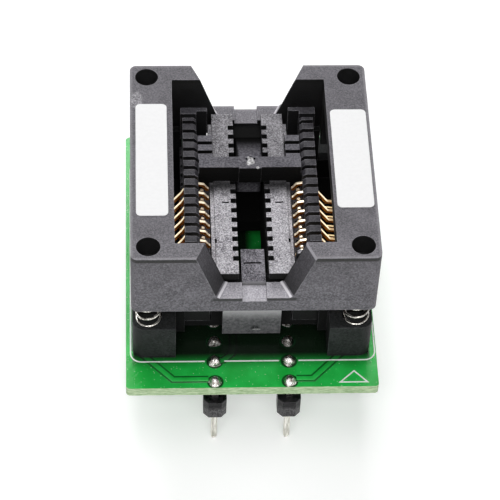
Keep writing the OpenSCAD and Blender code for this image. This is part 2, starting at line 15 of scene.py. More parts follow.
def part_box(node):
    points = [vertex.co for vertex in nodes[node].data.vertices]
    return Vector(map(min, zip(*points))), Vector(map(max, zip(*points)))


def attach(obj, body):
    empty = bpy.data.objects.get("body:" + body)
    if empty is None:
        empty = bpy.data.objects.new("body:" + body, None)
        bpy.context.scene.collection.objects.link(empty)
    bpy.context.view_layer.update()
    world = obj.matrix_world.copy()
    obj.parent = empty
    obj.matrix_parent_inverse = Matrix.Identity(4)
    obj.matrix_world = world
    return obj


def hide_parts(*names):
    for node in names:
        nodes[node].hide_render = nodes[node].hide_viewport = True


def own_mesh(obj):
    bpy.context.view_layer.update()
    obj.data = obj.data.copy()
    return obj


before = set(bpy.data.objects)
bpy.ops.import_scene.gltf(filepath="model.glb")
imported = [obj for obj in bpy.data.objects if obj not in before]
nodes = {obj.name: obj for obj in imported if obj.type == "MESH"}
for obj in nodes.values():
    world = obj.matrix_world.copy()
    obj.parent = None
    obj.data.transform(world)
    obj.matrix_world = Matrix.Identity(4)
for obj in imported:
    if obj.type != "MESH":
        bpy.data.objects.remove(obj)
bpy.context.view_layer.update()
MM = 0.001
SIDE_SIGNS = {"left": -1, "right": 1}
ENDS = ("front", "rear")

# %% [markdown]
# ## Camera
# The photograph was taken from high in front, a little to the left, with a long lens. The angles, the
# distance and the lens were worked out by matching the rows of contacts and pins, whose pitch is a
# standard one, to where they fall in the picture. A camera looks along its own -Z, so its Z axis points
# back from the target to the lens.

# %% Camera
VIEW_AZIMUTH = math.radians(-4.42)
VIEW_ELEVATION = math.radians(50.48)
VIEW_ROLL = math.radians(2.95)
VIEW_TARGET = Vector((0.29, 0.0, 11.14)) * MM
VIEW_DISTANCE = 227.69 * MM
LENS = 154.25


def photo_camera():
    """Camera at the photograph's angle, with its slight roll."""
    flat = math.cos(VIEW_ELEVATION)
    back = Vector((math.sin(VIEW_AZIMUTH) * flat, -math.cos(VIEW_AZIMUTH) * flat, math.sin(VIEW_ELEVATION)))
    across = Vector((math.cos(VIEW_AZIMUTH), math.sin(VIEW_AZIMUTH), 0.0))
    up = back.cross(across)
    right = across * math.cos(VIEW_ROLL) + up * math.sin(VIEW_ROLL)
    top = up * math.cos(VIEW_ROLL) - across * math.sin(VIEW_ROLL)
    data = bpy.data.cameras.new("photo_camera")
    data.lens = LENS
    data.sensor_width = 36.0
    data.clip_start = 0.01
    camera = bpy.data.objects.new("photo_camera", data)
    turn = Matrix((right, top, back)).transposed().to_4x4()
    camera.matrix_world = Matrix.Translation(VIEW_TARGET + back * VIEW_DISTANCE) @ turn
    bpy.context.scene.collection.objects.link(camera)
    bpy.context.scene.camera = camera
    return camera


camera = photo_camera()
bpy.context.scene.view_settings.view_transform = "Standard"
print("camera at", [round(v / MM, 1) for v in camera.matrix_world.translation])

# %% [markdown]
# ## Small helpers for node trees and meshes
# A node tree takes three steps for each node: make it, set its options, and set or link its inputs. One
# helper does all three, so a material reads as a list of what feeds what, and short ones for sums, noise
# and blends keep that list readable. For meshes, one helper turns a bmesh into an object, one lays a
# mitred strip along a line of points, which serves print and copper alike, and one stretches a skin over
# rings of points, which serves coils, solder and webs.

# %% Node helpers
def put(tree, kind, inputs=None, **options):
    """Add a node, set its options, and set its inputs or link sockets to them."""
    node = tree.nodes.new(kind)
    for name, value in options.items():
        setattr(node, name, value)
    for key, value in (inputs or {}).items():
        if isinstance(value, bpy.types.NodeSocket):
            tree.links.new(value, node.inputs[key])
        else:
            node.inputs[key].default_value = value
    return node


def math_node(tree, operation, a, b=0.0, clamp=False):
    """One Math node."""
    return put(tree, "ShaderNodeMath", {0: a, 1: b}, operation=operation, use_clamp=clamp).outputs[0]


def times(tree, a, b):
    """Product of two masks, kept between 0 and 1."""
    return math_node(tree, "MULTIPLY", a, b, clamp=True)


def plus(tree, a, b):
    """Sum of two masks, kept between 0 and 1."""
    return math_node(tree, "ADD", a, b, clamp=True)


def less(tree, a, b):
    """One mask with another taken away, kept between 0 and 1."""
    return math_node(tree, "SUBTRACT", a, b, clamp=True)


def vector_node(tree, operation, a, b=(0.0, 0.0, 0.0)):
    """One Vector Math node that gives a vector."""
    return put(tree, "ShaderNodeVectorMath", {0: a, 1: b}, operation=operation).outputs["Vector"]


def vector_size(tree, operation, a, b=(0.0, 0.0, 0.0)):
    """One Vector Math node that gives a number."""
    return put(tree, "ShaderNodeVectorMath", {0: a, 1: b}, operation=operation).outputs["Value"]


def noise_value(tree, place, scale, detail, roughness=0.5, distortion=0.0):
    """Smooth noise from 0 to 1 at a place in millimetres."""
    inputs = {"Vector": place, "Scale": scale, "Detail": detail, "Roughness": roughness,
              "Distortion": distortion}
    return put(tree, "ShaderNodeTexNoise", inputs).outputs[0]


def ramp_value(tree, value, low, high, to_low=0.0, to_high=1.0):
    """Value stretched from low..high to to_low..to_high, with soft ends."""
    inputs = {"Value": value, "From Min": low, "From Max": high, "To Min": to_low, "To Max": to_high}
    return put(tree, "ShaderNodeMapRange", inputs, interpolation_type="SMOOTHSTEP").outputs["Result"]


def blend_value(tree, factor, first, second):
    """Number mixed from first to second."""
    return put(tree, "ShaderNodeMix", {0: factor, 2: first, 3: second}).outputs[0]


def blend_colour(tree, factor, first, second):
    """Colour mixed from first to second."""
    return put(tree, "ShaderNodeMix", {0: factor, 6: first, 7: second}, data_type="RGBA").outputs[2]


def object_mm(tree):
    """Position on the object in millimetres."""
    place = put(tree, "ShaderNodeTexCoord").outputs["Object"]
    return put(tree, "ShaderNodeVectorMath", {0: place, "Scale": 1.0 / MM}, operation="SCALE").outputs[0]


def folded_mm(tree):
    """Position in millimetres with all four quarters of the object laid over each other."""
    return vector_node(tree, "ABSOLUTE", object_mm(tree))


def part(tree, vector, axis):
    """One component of a vector."""
    return put(tree, "ShaderNodeSeparateXYZ", {0: vector}).outputs[axis]


def facing(tree, axis):
    """One component of the surface normal, from -1 to 1."""
    return part(tree, put(tree, "ShaderNodeNewGeometry").outputs["Normal"], axis)


def size_of(tree, value):
    """Absolute value."""
    return math_node(tree, "ABSOLUTE", value)


def add_bump(tree, shader, height, strength, depth):
    """Fine relief from a height, with its depth in millimetres."""
    bump = put(tree, "ShaderNodeBump", {"Height": height, "Strength": strength, "Distance": depth * MM})
    tree.links.new(bump.outputs[0], shader.inputs["Normal"])


def rgb(red, green, blue):
    """Linear colour with full alpha."""
    return (red, green, blue, 1.0)


BLACK = rgb(0.005, 0.005, 0.005)
print("node helpers ready")

# %% Mesh helpers
def object_from(bm, name, body, material, smooth_angle=35.0):
    """Turn a bmesh into an object that rides on a body and takes a material."""
    bmesh.ops.recalc_face_normals(bm, faces=bm.faces)
    mesh = bpy.data.meshes.new(name)
    bm.to_mesh(mesh)
    bm.free()
    mesh.shade_smooth()
    mesh.set_sharp_from_angle(angle=math.radians(smooth_angle))
    mesh.materials.append(material)
    piece = bpy.data.objects.new(name, mesh)
    bpy.context.scene.collection.objects.link(piece)
    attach(piece, body)
    return piece


def strip_sides(points, width, closed=False):
    """Points along both sides of a mitred strip."""
    count = len(points)
    line = [Vector(p) for p in points]
    left, right = [], []
    for i, here in enumerate(line):
        before = line[i - 1] if i > 0 or closed else here
        after = line[(i + 1) % count] if i < count - 1 or closed else here
        into = (here - before).normalized() if before != here else (after - here).normalized()
        out = (after - here).normalized() if after != here else into
        across = Vector((-into.y - out.y, into.x + out.x)).normalized()
        reach = width / 2 / max(0.3, across.dot(Vector((-into.y, into.x))))
        left.append(here + across * reach)
        right.append(here - across * reach)
    return left, right


def add_strip(bm, points, width, low, high, closed=False, shrink=0.8):
    """Strip with sloping sides between two heights, all in millimetres."""
    rows = []
    for size, z in ((width, low), (width * shrink, high)):
        left, right = strip_sides(points, size, closed)
        rows.append([[bm.verts.new((p.x * MM, p.y * MM, z * MM)) for p in side] for side in (left, right)])
    (low_left, low_right), (top_left, top_right) = rows
    steps = len(points) if closed else len(points) - 1
    for i in range(steps):
        j = (i + 1) % len(points)
        bm.faces.new((top_left[i], top_right[i], top_right[j], top_left[j]))
        bm.faces.new((low_left[i], top_left[i], top_left[j], low_left[j]))
        bm.faces.new((top_right[i], low_right[i], low_right[j], top_right[j]))
        bm.faces.new((low_right[i], low_left[i], low_left[j], low_right[j]))
    if not closed:
        for k in (0, -1):
            bm.faces.new((low_left[k], low_right[k], top_right[k], top_left[k]))


def join_rings(bm, rings, closed_ends):
    """Skin over rings with the same count of points, and over both ends if they are closed."""
    count = len(rings[0])
    for low, high in zip(rings, rings[1:]):
        for k in range(count):
            j = (k + 1) % count
            bm.faces.new((low[k], low[j], high[j], high[k]))
    if closed_ends:
        bm.faces.new(rings[0])
        bm.faces.new(rings[-1])


def add_swept(bm, rows):
    """Closed shape from rows of points in millimetres, one row for each place across it."""
    join_rings(bm, [[bm.verts.new(Vector(p) * MM) for p in row] for row in rows], closed_ends=True)


def add_revolved(bm, centre, profile, segments, wobble=0.0, seed=0.0, closed_ends=False):
    """Surface turned about a vertical line from (radius, height) points, uneven if there is a wobble."""
    rings = []
    for radius, z in profile:
        ring = []
        for k in range(segments):
            turn = 2 * math.pi * k / segments
            point = Vector((radius * math.cos(turn), radius * math.sin(turn), z))
            stir = noise.noise(point * 1.7 + Vector((seed, -seed, 2 * seed)))
            point += Vector((point.x, point.y, 0.6 * z)) * stir * wobble
            ring.append(bm.verts.new((Vector(centre) + point) * MM))
        rings.append(ring)
    join_rings(bm, rings, closed_ends)


print("mesh helpers ready")

# %% [markdown]
# ## Sizes taken from the frame
# Nothing here is typed twice: the board's top, the pins' places and the springs' places are read from the
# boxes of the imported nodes, so that the looks follow when the solids change. A soft box is given by its low
# corner, its high corner and the depth over which it fades in. `BEYOND` is a height above the whole
# object, `FROM_MIDDLE` is the low corner of a box that has no inner side, and `CRISP` is a fade so short
# that the sides look sharp. Thin strips are set into the surface by `SUNK`, so that no gap shows below
# them.

# %% Sizes
def box_mm(node):
    """Lowest and highest corner of a node in millimetres."""
    low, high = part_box(node)
    return low / MM, high / MM


BOARD_LOW, BOARD_HIGH = box_mm("circuit_board")
BOARD_MIDDLE_Y = (BOARD_LOW.y + BOARD_HIGH.y) / 2
BOARD_TOP = BOARD_HIGH.z
BOARD_BOTTOM = BOARD_LOW.z
FRAME_LOW, FRAME_HIGH = box_mm("press_frame")
PIN_PITCH = 2.54
ROW_X = 3.81
PIN_ROW = 14
PINS_FITTED = 8
SLOT_PITCH = 1.27
SLOT_ROW = 14
CONTACTS_FITTED = 8
PINS_LOW, PINS_HIGH = box_mm("right_header_pins")
FIRST_PIN_Y = (PINS_LOW.y + PINS_HIGH.y) / 2 - (PINS_FITTED - 1) * PIN_PITCH / 2
pin_places = [FIRST_PIN_Y + PIN_PITCH * k for k in range(PIN_ROW)]
slot_places = [(k - (SLOT_ROW - 1) / 2) * SLOT_PITCH for k in range(SLOT_ROW)]
BEYOND = 40.0
FROM_MIDDLE = Vector((-1.0, -1.0, 0.0))
CRISP = Vector((0.02, 0.02, 0.02))
SUNK = 0.01
# Box in which the board, its tracks and the solder are painted darker as the socket's painted shadow;
# SOCKET_SHADE is how dark on the board and tracks.
UNDER_SOCKET = (Vector((-9.0, -9.0, BOARD_TOP - 0.3)), Vector((12.35, 14.9, 30.0)), Vector((0.3, 2.4, 0.1)))
SOCKET_SHADE = 0.985
print("board top", round(BOARD_TOP, 2), "frame top", round(FRAME_HIGH.z, 2))
print("first pin at", round(FIRST_PIN_Y, 2))

# %% [markdown]
# ## Stage and light
# The real object stands on its pins on a white table. Large lamps overhead and in front light the faces
# that look up, one behind gives them their sheen, and the bright table in front lights the front wall
# from below. The table and the world are white to the camera and in reflections. Further out the table
# fades from a lit surface to plain white, so it has no horizon from any side.

# %% World and table
def soft_white(tree):
    """One where a ray comes from the camera, a mirror-like surface or a clear one."""
    path = put(tree, "ShaderNodeLightPath").outputs
    seen = plus(tree, path["Is Camera Ray"], path["Is Glossy Ray"])
    return plus(tree, seen, path["Is Transmission Ray"])


def white_world(fill):
    """World that is white where it is seen and lights the object with a weak even fill."""
    world = bpy.data.worlds.new("white_room")
    bpy.context.scene.world = world
    world.use_nodes = True
    tree = world.node_tree
    strength = ramp_value(tree, soft_white(tree), 0.0, 1.0, fill, 1.0)
    tree.nodes["Background"].inputs["Color"].default_value = rgb(1.0, 1.0, 1.0)
    tree.links.new(strength, tree.nodes["Background"].inputs["Strength"])
    return world


def white_table(half_side, shade, glow, fade):
    """Table top that keeps the shadow near the object and turns plain white further out."""
    bm = bmesh.new()
    bmesh.ops.create_grid(bm, x_segments=1, y_segments=1, size=half_side)
    mesh = bpy.data.meshes.new("table")
    bm.to_mesh(mesh)
    bm.free()
    material = bpy.data.materials.new("white_table")
    material.use_nodes = True
    tree = material.node_tree
    tree.nodes.remove(tree.nodes["Principled BSDF"])
    away = vector_size(tree, "LENGTH", object_mm(tree))
    far = ramp_value(tree, away, *fade)
    lit = blend_colour(tree, far, rgb(shade, shade, shade), rgb(0.0, 0.0, 0.0))
    diffuse = put(tree, "ShaderNodeBsdfDiffuse", {"Color": lit})
    lift = times(tree, soft_white(tree), ramp_value(tree, away, *fade, glow, 1.0))
    emission = put(tree, "ShaderNodeEmission", {"Strength": lift})
    both = put(tree, "ShaderNodeAddShader", {0: diffuse.outputs[0], 1: emission.outputs[0]})
    tree.links.new(both.outputs[0], tree.nodes["Material Output"].inputs["Surface"])
    mesh.materials.append(material)
    table = bpy.data.objects.new("table", mesh)
    bpy.context.scene.collection.objects.link(table)
    return table


white_world(fill=0.03)
white_table(half_side=3.0, shade=0.70, glow=0.47, fade=(45.0, 240.0))
print("stage ready")

# %% Lamps
def soft_lamp(name, place, size, watts, aim=VIEW_TARGET / MM):
    """Rectangular lamp in millimetres, turned towards the object or another point."""
    data = bpy.data.lights.new(name, "AREA")
    data.shape = "RECTANGLE"
    data.size, data.size_y = size[0] * MM, size[1] * MM
    data.energy = watts
    lamp = bpy.data.objects.new(name, data)
    lamp.location = Vector(place) * MM
    lamp.rotation_euler = (Vector(aim) * MM - lamp.location).to_track_quat("-Z", "Y").to_euler()
    lamp.visible_camera = False
    bpy.context.scene.collection.objects.link(lamp)
    return lamp


soft_lamp("overhead_softbox", place=(-10, 0, 440), size=(420, 160), watts=0.85)
soft_lamp("rear_softbox", place=(-70, 330, 330), size=(300, 160), watts=1.15)
soft_lamp("front_softbox", place=(-30, -300, 390), size=(300, 120), watts=0.95)
soft_lamp("bright_table_front", place=(-20, -200, 1.5), size=(520, 250), watts=2.15, aim=(-20, -200, 100))

# %% [markdown]
# ## Shared surface effects
# Moulded plastic, print and metal share a few effects, each made once as a node group with its own
# inputs. Grain is the spark-eroded texture that the mould leaves: fine noise over broad mottling, with
# small bright facets. The edge group compares the surface normal with a rounded one, which differs only
# near an edge, and lightens edges both where hands rub them and as a painted glint. Level picks the faces
# that look up at one height, and box picks a block of space with soft sides, so one solid can carry the
# different textures of its mould's inserts and its painted light and shade. Spot is a ragged oval for
# scuffs, pits, flakes and a painted glint.

# %% Group helper
def new_group(name, inputs, outputs):
    """Node group with float, vector or colour inputs, and its two end nodes."""
    kinds = {float: "NodeSocketFloat", tuple: "NodeSocketColor", Vector: "NodeSocketVector"}
    tree = bpy.data.node_groups.new(name, "ShaderNodeTree")
    for label, value in inputs.items():
        socket = tree.interface.new_socket(label, in_out="INPUT", socket_type=kinds[type(value)])
        socket.default_value = value
    for label, kind in outputs.items():
        tree.interface.new_socket(label, in_out="OUTPUT", socket_type=kind)
    return tree, tree.nodes.new("NodeGroupInput").outputs, tree.nodes.new("NodeGroupOutput").inputs


print("group helper ready")

# %% Grain
def grain_group():
    """Moulded texture: colour, roughness and height."""
    inputs = {"Dark": rgb(0.05, 0.05, 0.05), "Light": rgb(0.15, 0.15, 0.15), "Grains per mm": 6.0,
              "Speckle": 0.2, "Rough Low": 0.45, "Rough High": 0.65}
    outputs = {"Color": "NodeSocketColor", "Roughness": "NodeSocketFloat", "Height": "NodeSocketFloat"}
    tree, given, result = new_group("Moulded grain", inputs, outputs)
    place = object_mm(tree)
    size = given["Grains per mm"]
    fine = noise_value(tree, place, size, 3.0, roughness=0.6)
    broad = noise_value(tree, place, 0.55, 2.0)
    facets = put(tree, "ShaderNodeTexVoronoi", {"Vector": place, "Scale": size})
    facet_pick = put(tree, "ShaderNodeSeparateColor", {0: facets.outputs["Color"]}).outputs[0]
    bright = ramp_value(tree, facet_pick, 0.72, 0.97)
    spark = times(tree, bright, given["Speckle"])
    grain = ramp_value(tree, fine, 0.32, 0.70)
    mottle = ramp_value(tree, broad, 0.30, 0.72)
    mixed = plus(tree, times(tree, grain, 0.75), times(tree, mottle, 0.25))
    lifted = plus(tree, mixed, spark)
    tree.links.new(blend_colour(tree, lifted, given["Dark"], given["Light"]), result["Color"])
    rough_range = {"Value": mixed, "To Min": given["Rough Low"], "To Max": given["Rough High"]}
    tree.links.new(put(tree, "ShaderNodeMapRange", rough_range).outputs[0], result["Roughness"])
    tree.links.new(plus(tree, grain, times(tree, spark, 0.5)), result["Height"])
    return tree


GRAIN = grain_group()
print("group:", GRAIN.name)

# %% Edge rubbing and glint
def edge_wear_and_glint_group():
    """Mask of the edges, lighter both where hands and tools rub them and as a painted glint on their rounded
    rims.
    """
    inputs = {"Radius": 0.15 * MM, "Amount": 1.0, "Patches per mm": 1.2}
    tree, given, result = new_group("Edge wear", inputs, {"Mask": "NodeSocketFloat"})
    rounded = put(tree, "ShaderNodeBevel", {"Radius": given["Radius"]}, samples=6).outputs[0]
    straight = put(tree, "ShaderNodeNewGeometry").outputs["True Normal"]
    match = vector_size(tree, "DOT_PRODUCT", rounded, straight)
    edge = ramp_value(tree, match, 0.995, 0.86)
    patches = noise_value(tree, object_mm(tree), given["Patches per mm"], 4.0)
    broken = ramp_value(tree, patches, 0.36, 0.62, 0.25, 1.0)
    mask = times(tree, times(tree, edge, broken), given["Amount"])
    tree.links.new(mask, result["Mask"])
    return tree


EDGE_WEAR_AND_GLINT = edge_wear_and_glint_group()
print("group:", EDGE_WEAR_AND_GLINT.name)

# %% Level and box
def level_group():
    """Mask of faces that look up between two heights and within half a width of the middle."""
    inputs = {"Lowest": 0.0, "Highest": 1.0, "Half Width": 100.0}
    tree, given, result = new_group("Up-facing level", inputs, {"Mask": "NodeSocketFloat"})
    up = ramp_value(tree, facing(tree, 2), 0.55, 0.85)
    place = put(tree, "ShaderNodeSeparateXYZ", {0: folded_mm(tree)}).outputs
    above = math_node(tree, "GREATER_THAN", place[2], given["Lowest"])
    below = math_node(tree, "LESS_THAN", place[2], given["Highest"])
    inside = math_node(tree, "LESS_THAN", place[0], given["Half Width"])
    both = times(tree, above, below)
    tree.links.new(times(tree, times(tree, both, inside), up), result["Mask"])
    return tree


def box_group():
    """Mask of a block of space that fades in from its sides over a depth of its own along each axis."""
    inputs = {"Place": Vector((0, 0, 0)), "Low": Vector((0, 0, 0)), "High": Vector((1, 1, 1)),
              "Soft": Vector((1, 1, 1))}
    tree, given, result = new_group("Soft box", inputs, {"Mask": "NodeSocketFloat"})
    over = vector_node(tree, "SUBTRACT", given["Place"], given["Low"])
    under = vector_node(tree, "SUBTRACT", given["High"], given["Place"])
    depth = vector_node(tree, "MINIMUM", over, under)
    share = vector_node(tree, "DIVIDE", depth, given["Soft"])
    axes = put(tree, "ShaderNodeSeparateXYZ", {0: share}).outputs
    least = math_node(tree, "MINIMUM", axes[0], axes[1])
    least = math_node(tree, "MINIMUM", least, axes[2])
    tree.links.new(ramp_value(tree, least, 0.0, 1.0), result["Mask"])
    return tree


LEVEL = level_group()
BOX = box_group()
print("groups:", LEVEL.name, BOX.name)

# %% Spot
def spot_group():
    """Mask of a ragged oval spot, given its middle and its half sizes in millimetres."""
    inputs = {"Middle": Vector((0, 0, 0)), "Half Size": Vector((1, 1, 1)), "Ragged": 0.5}
    tree, given, result = new_group("Ragged spot", inputs, {"Mask": "NodeSocketFloat"})
    place = object_mm(tree)
    offset = vector_node(tree, "SUBTRACT", place, given["Middle"])
    scaled = vector_node(tree, "DIVIDE", offset, given["Half Size"])
    away = vector_size(tree, "LENGTH", scaled)
    oval = ramp_value(tree, away, 1.0, 0.55)
    streaks = noise_value(tree, place, 4.5, 4.0, distortion=1.5)
    torn = ramp_value(tree, streaks, 0.42, 0.58)
    kept = blend_value(tree, given["Ragged"], 1.0, torn)
    tree.links.new(times(tree, oval, kept), result["Mask"])
    return tree


SPOT = spot_group()
print("group:", SPOT.name)

# %% [markdown]
# ## Moulded black plastic
# The socket is moulded in a filled black plastic. In the photograph its flat tops look mid grey, because
# the fine texture scatters the light of the softbox, and each piece has its own texture: the frame a fine
# matt one, the combs a smoother one, and the chip's seat a coarse bright one. Each is one call of the
# grain group, and a seat's texture is laid over the base's by its level.
# Where light or shade falls, some faces are painted too: walls, slopes and slots inside darker as painted
# shade, and a few rims, bevels and end faces lighter as painted highlights.

# %% Plastic helpers
# Edge colour for both rubbing and a painted glint on rounded rims.
WORN_AND_GLINT_TINT = rgb(0.34, 0.33, 0.36)


def new_material(name):
    """Material with its tree and its Principled shader."""
    material = bpy.data.materials.new(name)
    material.use_nodes = True
    return material, material.node_tree, material.node_tree.nodes["Principled BSDF"]


def use_group(tree, group, **values):
    """Group node with its inputs set. Underscores in a name stand for spaces."""
    inputs = {key.replace("_", " "): value for key, value in values.items()}
    return put(tree, "ShaderNodeGroup", inputs, node_tree=group).outputs


def use_grain(tree, dark, light, grains_per_mm, speckle, rough):
    """Grain group with its inputs set."""
    return use_group(tree, GRAIN, Dark=dark, Light=light, Grains_per_mm=grains_per_mm, Speckle=speckle,
                     Rough_Low=rough[0], Rough_High=rough[1])


def use_level(tree, lowest, highest, half_width=100.0):
    """Level group with its inputs set."""
    return use_group(tree, LEVEL, Lowest=lowest, Highest=highest, Half_Width=half_width)["Mask"]


def use_box(tree, place, low, high, soft):
    """Box group with its inputs set."""
    return use_group(tree, BOX, Place=place, Low=low, High=high, Soft=soft)["Mask"]


def use_edge_wear_and_glint(tree, radius, amount):
    """Group for edges lighter from rubbing and a painted glint, with its inputs set."""
    return use_group(tree, EDGE_WEAR_AND_GLINT, Radius=radius * MM, Amount=amount)["Mask"]


def use_spot(tree, middle, half_size, ragged):
    """Spot group with its inputs set."""
    return use_group(tree, SPOT, Middle=middle, Half_Size=half_size, Ragged=ragged)["Mask"]


def tone_down(tree, colour, mask, amount):
    """Colour taken towards black where the mask says so."""
    return blend_colour(tree, times(tree, mask, amount), colour, BLACK)


def finish_plastic(tree, shader, colour, roughness, height, bump_mm, wear_and_glint, specular=0.3):
    """Feed a plastic's shader, with edges lighter from rubbing and from a painted glint, and a fine bump."""
    edged = blend_colour(tree, wear_and_glint, colour, WORN_AND_GLINT_TINT)
    tree.links.new(edged, shader.inputs["Base Color"])
    tree.links.new(roughness, shader.inputs["Roughness"])
    shader.inputs["Specular IOR Level"].default_value = specular
    add_bump(tree, shader, height, 0.6, bump_mm)


print("plastic helpers ready")

# %% Frame plastic
SILL_TOP = FRAME_LOW.z + 2.0
SILL_BEVEL = 0.3
SILL_HALF_WIDTH = 4.2
CHANNEL_HALF_WIDTH = 1.25
NOTCH_HALF_WIDTH = 6.7
OPENING = Vector((7.95, 11.05, FRAME_HIGH.z))
SCUFF_PLACE = Vector((-11.6, 8.2, FRAME_HIGH.z))
SCUFF_SIZE = Vector((0.75, 1.5, 0.3))
HOLE_PLACE = Vector((10.55, 11.45, 0.0))
HOLE_RADIUS = 1.21


def corner_hole_shade_mask(tree):
    """Mask of the walls of the four round holes, painted darker as painted shade."""
    place = folded_mm(tree)
    flat = vector_node(tree, "MULTIPLY", place, (1, 1, 0))
    away = vector_size(tree, "DISTANCE", flat, HOLE_PLACE)
    inside = math_node(tree, "LESS_THAN", away, HOLE_RADIUS)
    below_top = ramp_value(tree, part(tree, place, 2), FRAME_HIGH.z, FRAME_HIGH.z - 0.35)
    return times(tree, inside, below_top)


def sill_bevel_highlight_mask(tree):
    """Mask of the bevels between the sills and the notches' sides, painted bright as a painted highlight."""
    band = use_box(tree, folded_mm(tree), Vector((0.0, OPENING.y - 0.1, SILL_TOP + 0.01)),
                   Vector((SILL_HALF_WIDTH, FRAME_HIGH.y + 0.1, SILL_TOP + SILL_BEVEL + 0.02)),
                   Vector((0.05, 0.05, 0.02)))
    return times(tree, band, ramp_value(tree, facing(tree, 2), 0.40, 0.58))


def inner_wall_shade_mask(tree):
    """Mask of the walls round the opening, painted near black as painted shade."""
    inside = use_box(tree, folded_mm(tree), FROM_MIDDLE, OPENING + Vector((3.0, 0.12, -0.2)),
                     Vector((0.1, 0.02, 0.15)))
    return times(tree, inside, ramp_value(tree, facing(tree, 2), 0.6, 0.3))


def slope_and_wall_shade_mask(tree):
    """Mask of painted shade: on the notches' slopes, on the upright walls more towards the top, in a band
    under the top rim and in a line under the sill's front edge.
    """
    place = folded_mm(tree)
    height = part(tree, place, 2)
    notch = use_box(tree, place, Vector((-1.0, OPENING.y, SILL_TOP + SILL_BEVEL)),
                    Vector((NOTCH_HALF_WIDTH, FRAME_HIGH.y + 0.1, FRAME_HIGH.z)), Vector((0.05, 0.03, 0.1)))
    sideways = ramp_value(tree, size_of(tree, facing(tree, 0)), 0.4, 0.7)
    side = times(tree, notch, sideways)
    slope = times(tree, side, ramp_value(tree, height, SILL_TOP, FRAME_HIGH.z, 0.85, 0.35))
    upright = ramp_value(tree, facing(tree, 2), 0.75, 0.35)
    high = ramp_value(tree, height, FRAME_LOW.z + 1.5, FRAME_HIGH.z, 0.0, 0.28)
    rim = use_box(tree, place, Vector((-1.0, -1.0, FRAME_HIGH.z - 0.62)),
                  Vector((20.0, 20.0, FRAME_HIGH.z)), Vector((0.1, 0.1, 0.16)))
    lip = use_box(tree, place, Vector((-1.0, FRAME_HIGH.y - 0.1, SILL_TOP - 0.5)),
                  Vector((SILL_HALF_WIDTH + 0.3, 20.0, SILL_TOP + 0.1)), Vector((0.5, 0.02, 0.15)))
    rim = less(tree, rim, side)
    lines = plus(tree, times(tree, rim, 0.75), times(tree, lip, 0.8))
    wall = plus(tree, high, lines)
    return math_node(tree, "MAXIMUM", slope, times(tree, wall, upright))


def top_rim_highlight_mask(tree):
    """Mask of a narrow band along the outer edges of the top, painted lighter as the highlight of the rounded
    rim.
    """
    edge = FRAME_HIGH - Vector((0.12, 0.12, -1.0))
    middle = use_box(tree, folded_mm(tree), FROM_MIDDLE, edge, Vector((0.25, 0.25, 0.1)))
    return less(tree, ramp_value(tree, facing(tree, 2), 0.6, 0.9), middle)


def notch_lip_mask(tree):
    """Mask of the upper rim of the front notch's right side, which catches the light."""
    band = use_box(tree, object_mm(tree), Vector((3.0, FRAME_LOW.y - 0.2, FRAME_HIGH.z - 0.45)),
                   Vector((NOTCH_HALF_WIDTH + 0.6, 0.2 - OPENING.y, FRAME_HIGH.z + 0.1)),
                   Vector((0.1, 0.05, 0.15)))
    return times(tree, band, ramp_value(tree, size_of(tree, facing(tree, 0)), 0.3, 0.6))


def frame_plastic():
    """Fine matt texture, brighter on the sill and in its channel, with a scuff near the left label."""
    material, tree, shader = new_material("frame_plastic")
    matt = use_grain(tree, dark=rgb(0.036, 0.034, 0.040), light=rgb(0.155, 0.148, 0.166), grains_per_mm=6.0,
                     speckle=0.35, rough=(0.46, 0.66))
    bright = use_grain(tree, dark=rgb(0.26, 0.25, 0.28), light=rgb(0.62, 0.60, 0.65), grains_per_mm=6.0,
                       speckle=0.30, rough=(0.42, 0.6))
    sill = use_level(tree, FRAME_LOW.z + 1.0, SILL_TOP + 0.1, SILL_HALF_WIDTH)
    channel = use_level(tree, FRAME_LOW.z + 1.0, SILL_TOP - 0.2, CHANNEL_HALF_WIDTH)
    share = plus(tree, times(tree, sill, 0.64), times(tree, channel, 0.2))
    front = ramp_value(tree, part(tree, object_mm(tree), 1), 8.0, -8.0, 0.18, 1.0)
    share = times(tree, share, front)
    near_lamp = ramp_value(tree, part(tree, object_mm(tree), 1), -9.5, -11.5, 0.0, 0.08)
    top = use_level(tree, FRAME_HIGH.z - 0.3, FRAME_HIGH.z + 0.3)
    share = plus(tree, share, times(tree, top, near_lamp))
    colour = blend_colour(tree, share, matt["Color"], bright["Color"])
    # Painted shade on the notches' slopes, the upright walls, under the top rim and below the sill.
    colour = tone_down(tree, colour, slope_and_wall_shade_mask(tree), 1.0)
    colour = blend_colour(tree, notch_lip_mask(tree), colour, rgb(0.36, 0.35, 0.38))
    # Painted highlight on the bevels of the sills.
    colour = blend_colour(tree, sill_bevel_highlight_mask(tree), colour, rgb(0.78, 0.76, 0.80))
    # Painted highlight along the outer rims of the top.
    rim_highlight = times(tree, top_rim_highlight_mask(tree), 0.35)
    colour = blend_colour(tree, rim_highlight, colour, rgb(0.34, 0.33, 0.35))
    scuff = use_spot(tree, SCUFF_PLACE, SCUFF_SIZE, 1.0)
    colour = blend_colour(tree, times(tree, scuff, 0.8), colour, rgb(0.42, 0.41, 0.43))
    # Painted shade: the walls of the round holes and the walls round the opening are painted near black.
    dark = plus(tree, corner_hole_shade_mask(tree), inner_wall_shade_mask(tree))
    colour = tone_down(tree, colour, dark, 0.95)
    wear_and_glint = less(tree, use_edge_wear_and_glint(tree, radius=0.16, amount=0.55), dark)
    finish_plastic(tree, shader, colour, matt["Roughness"], matt["Height"], 0.02, wear_and_glint)
    return material


FRAME_PLASTIC = frame_plastic()
print("material:", FRAME_PLASTIC.name)

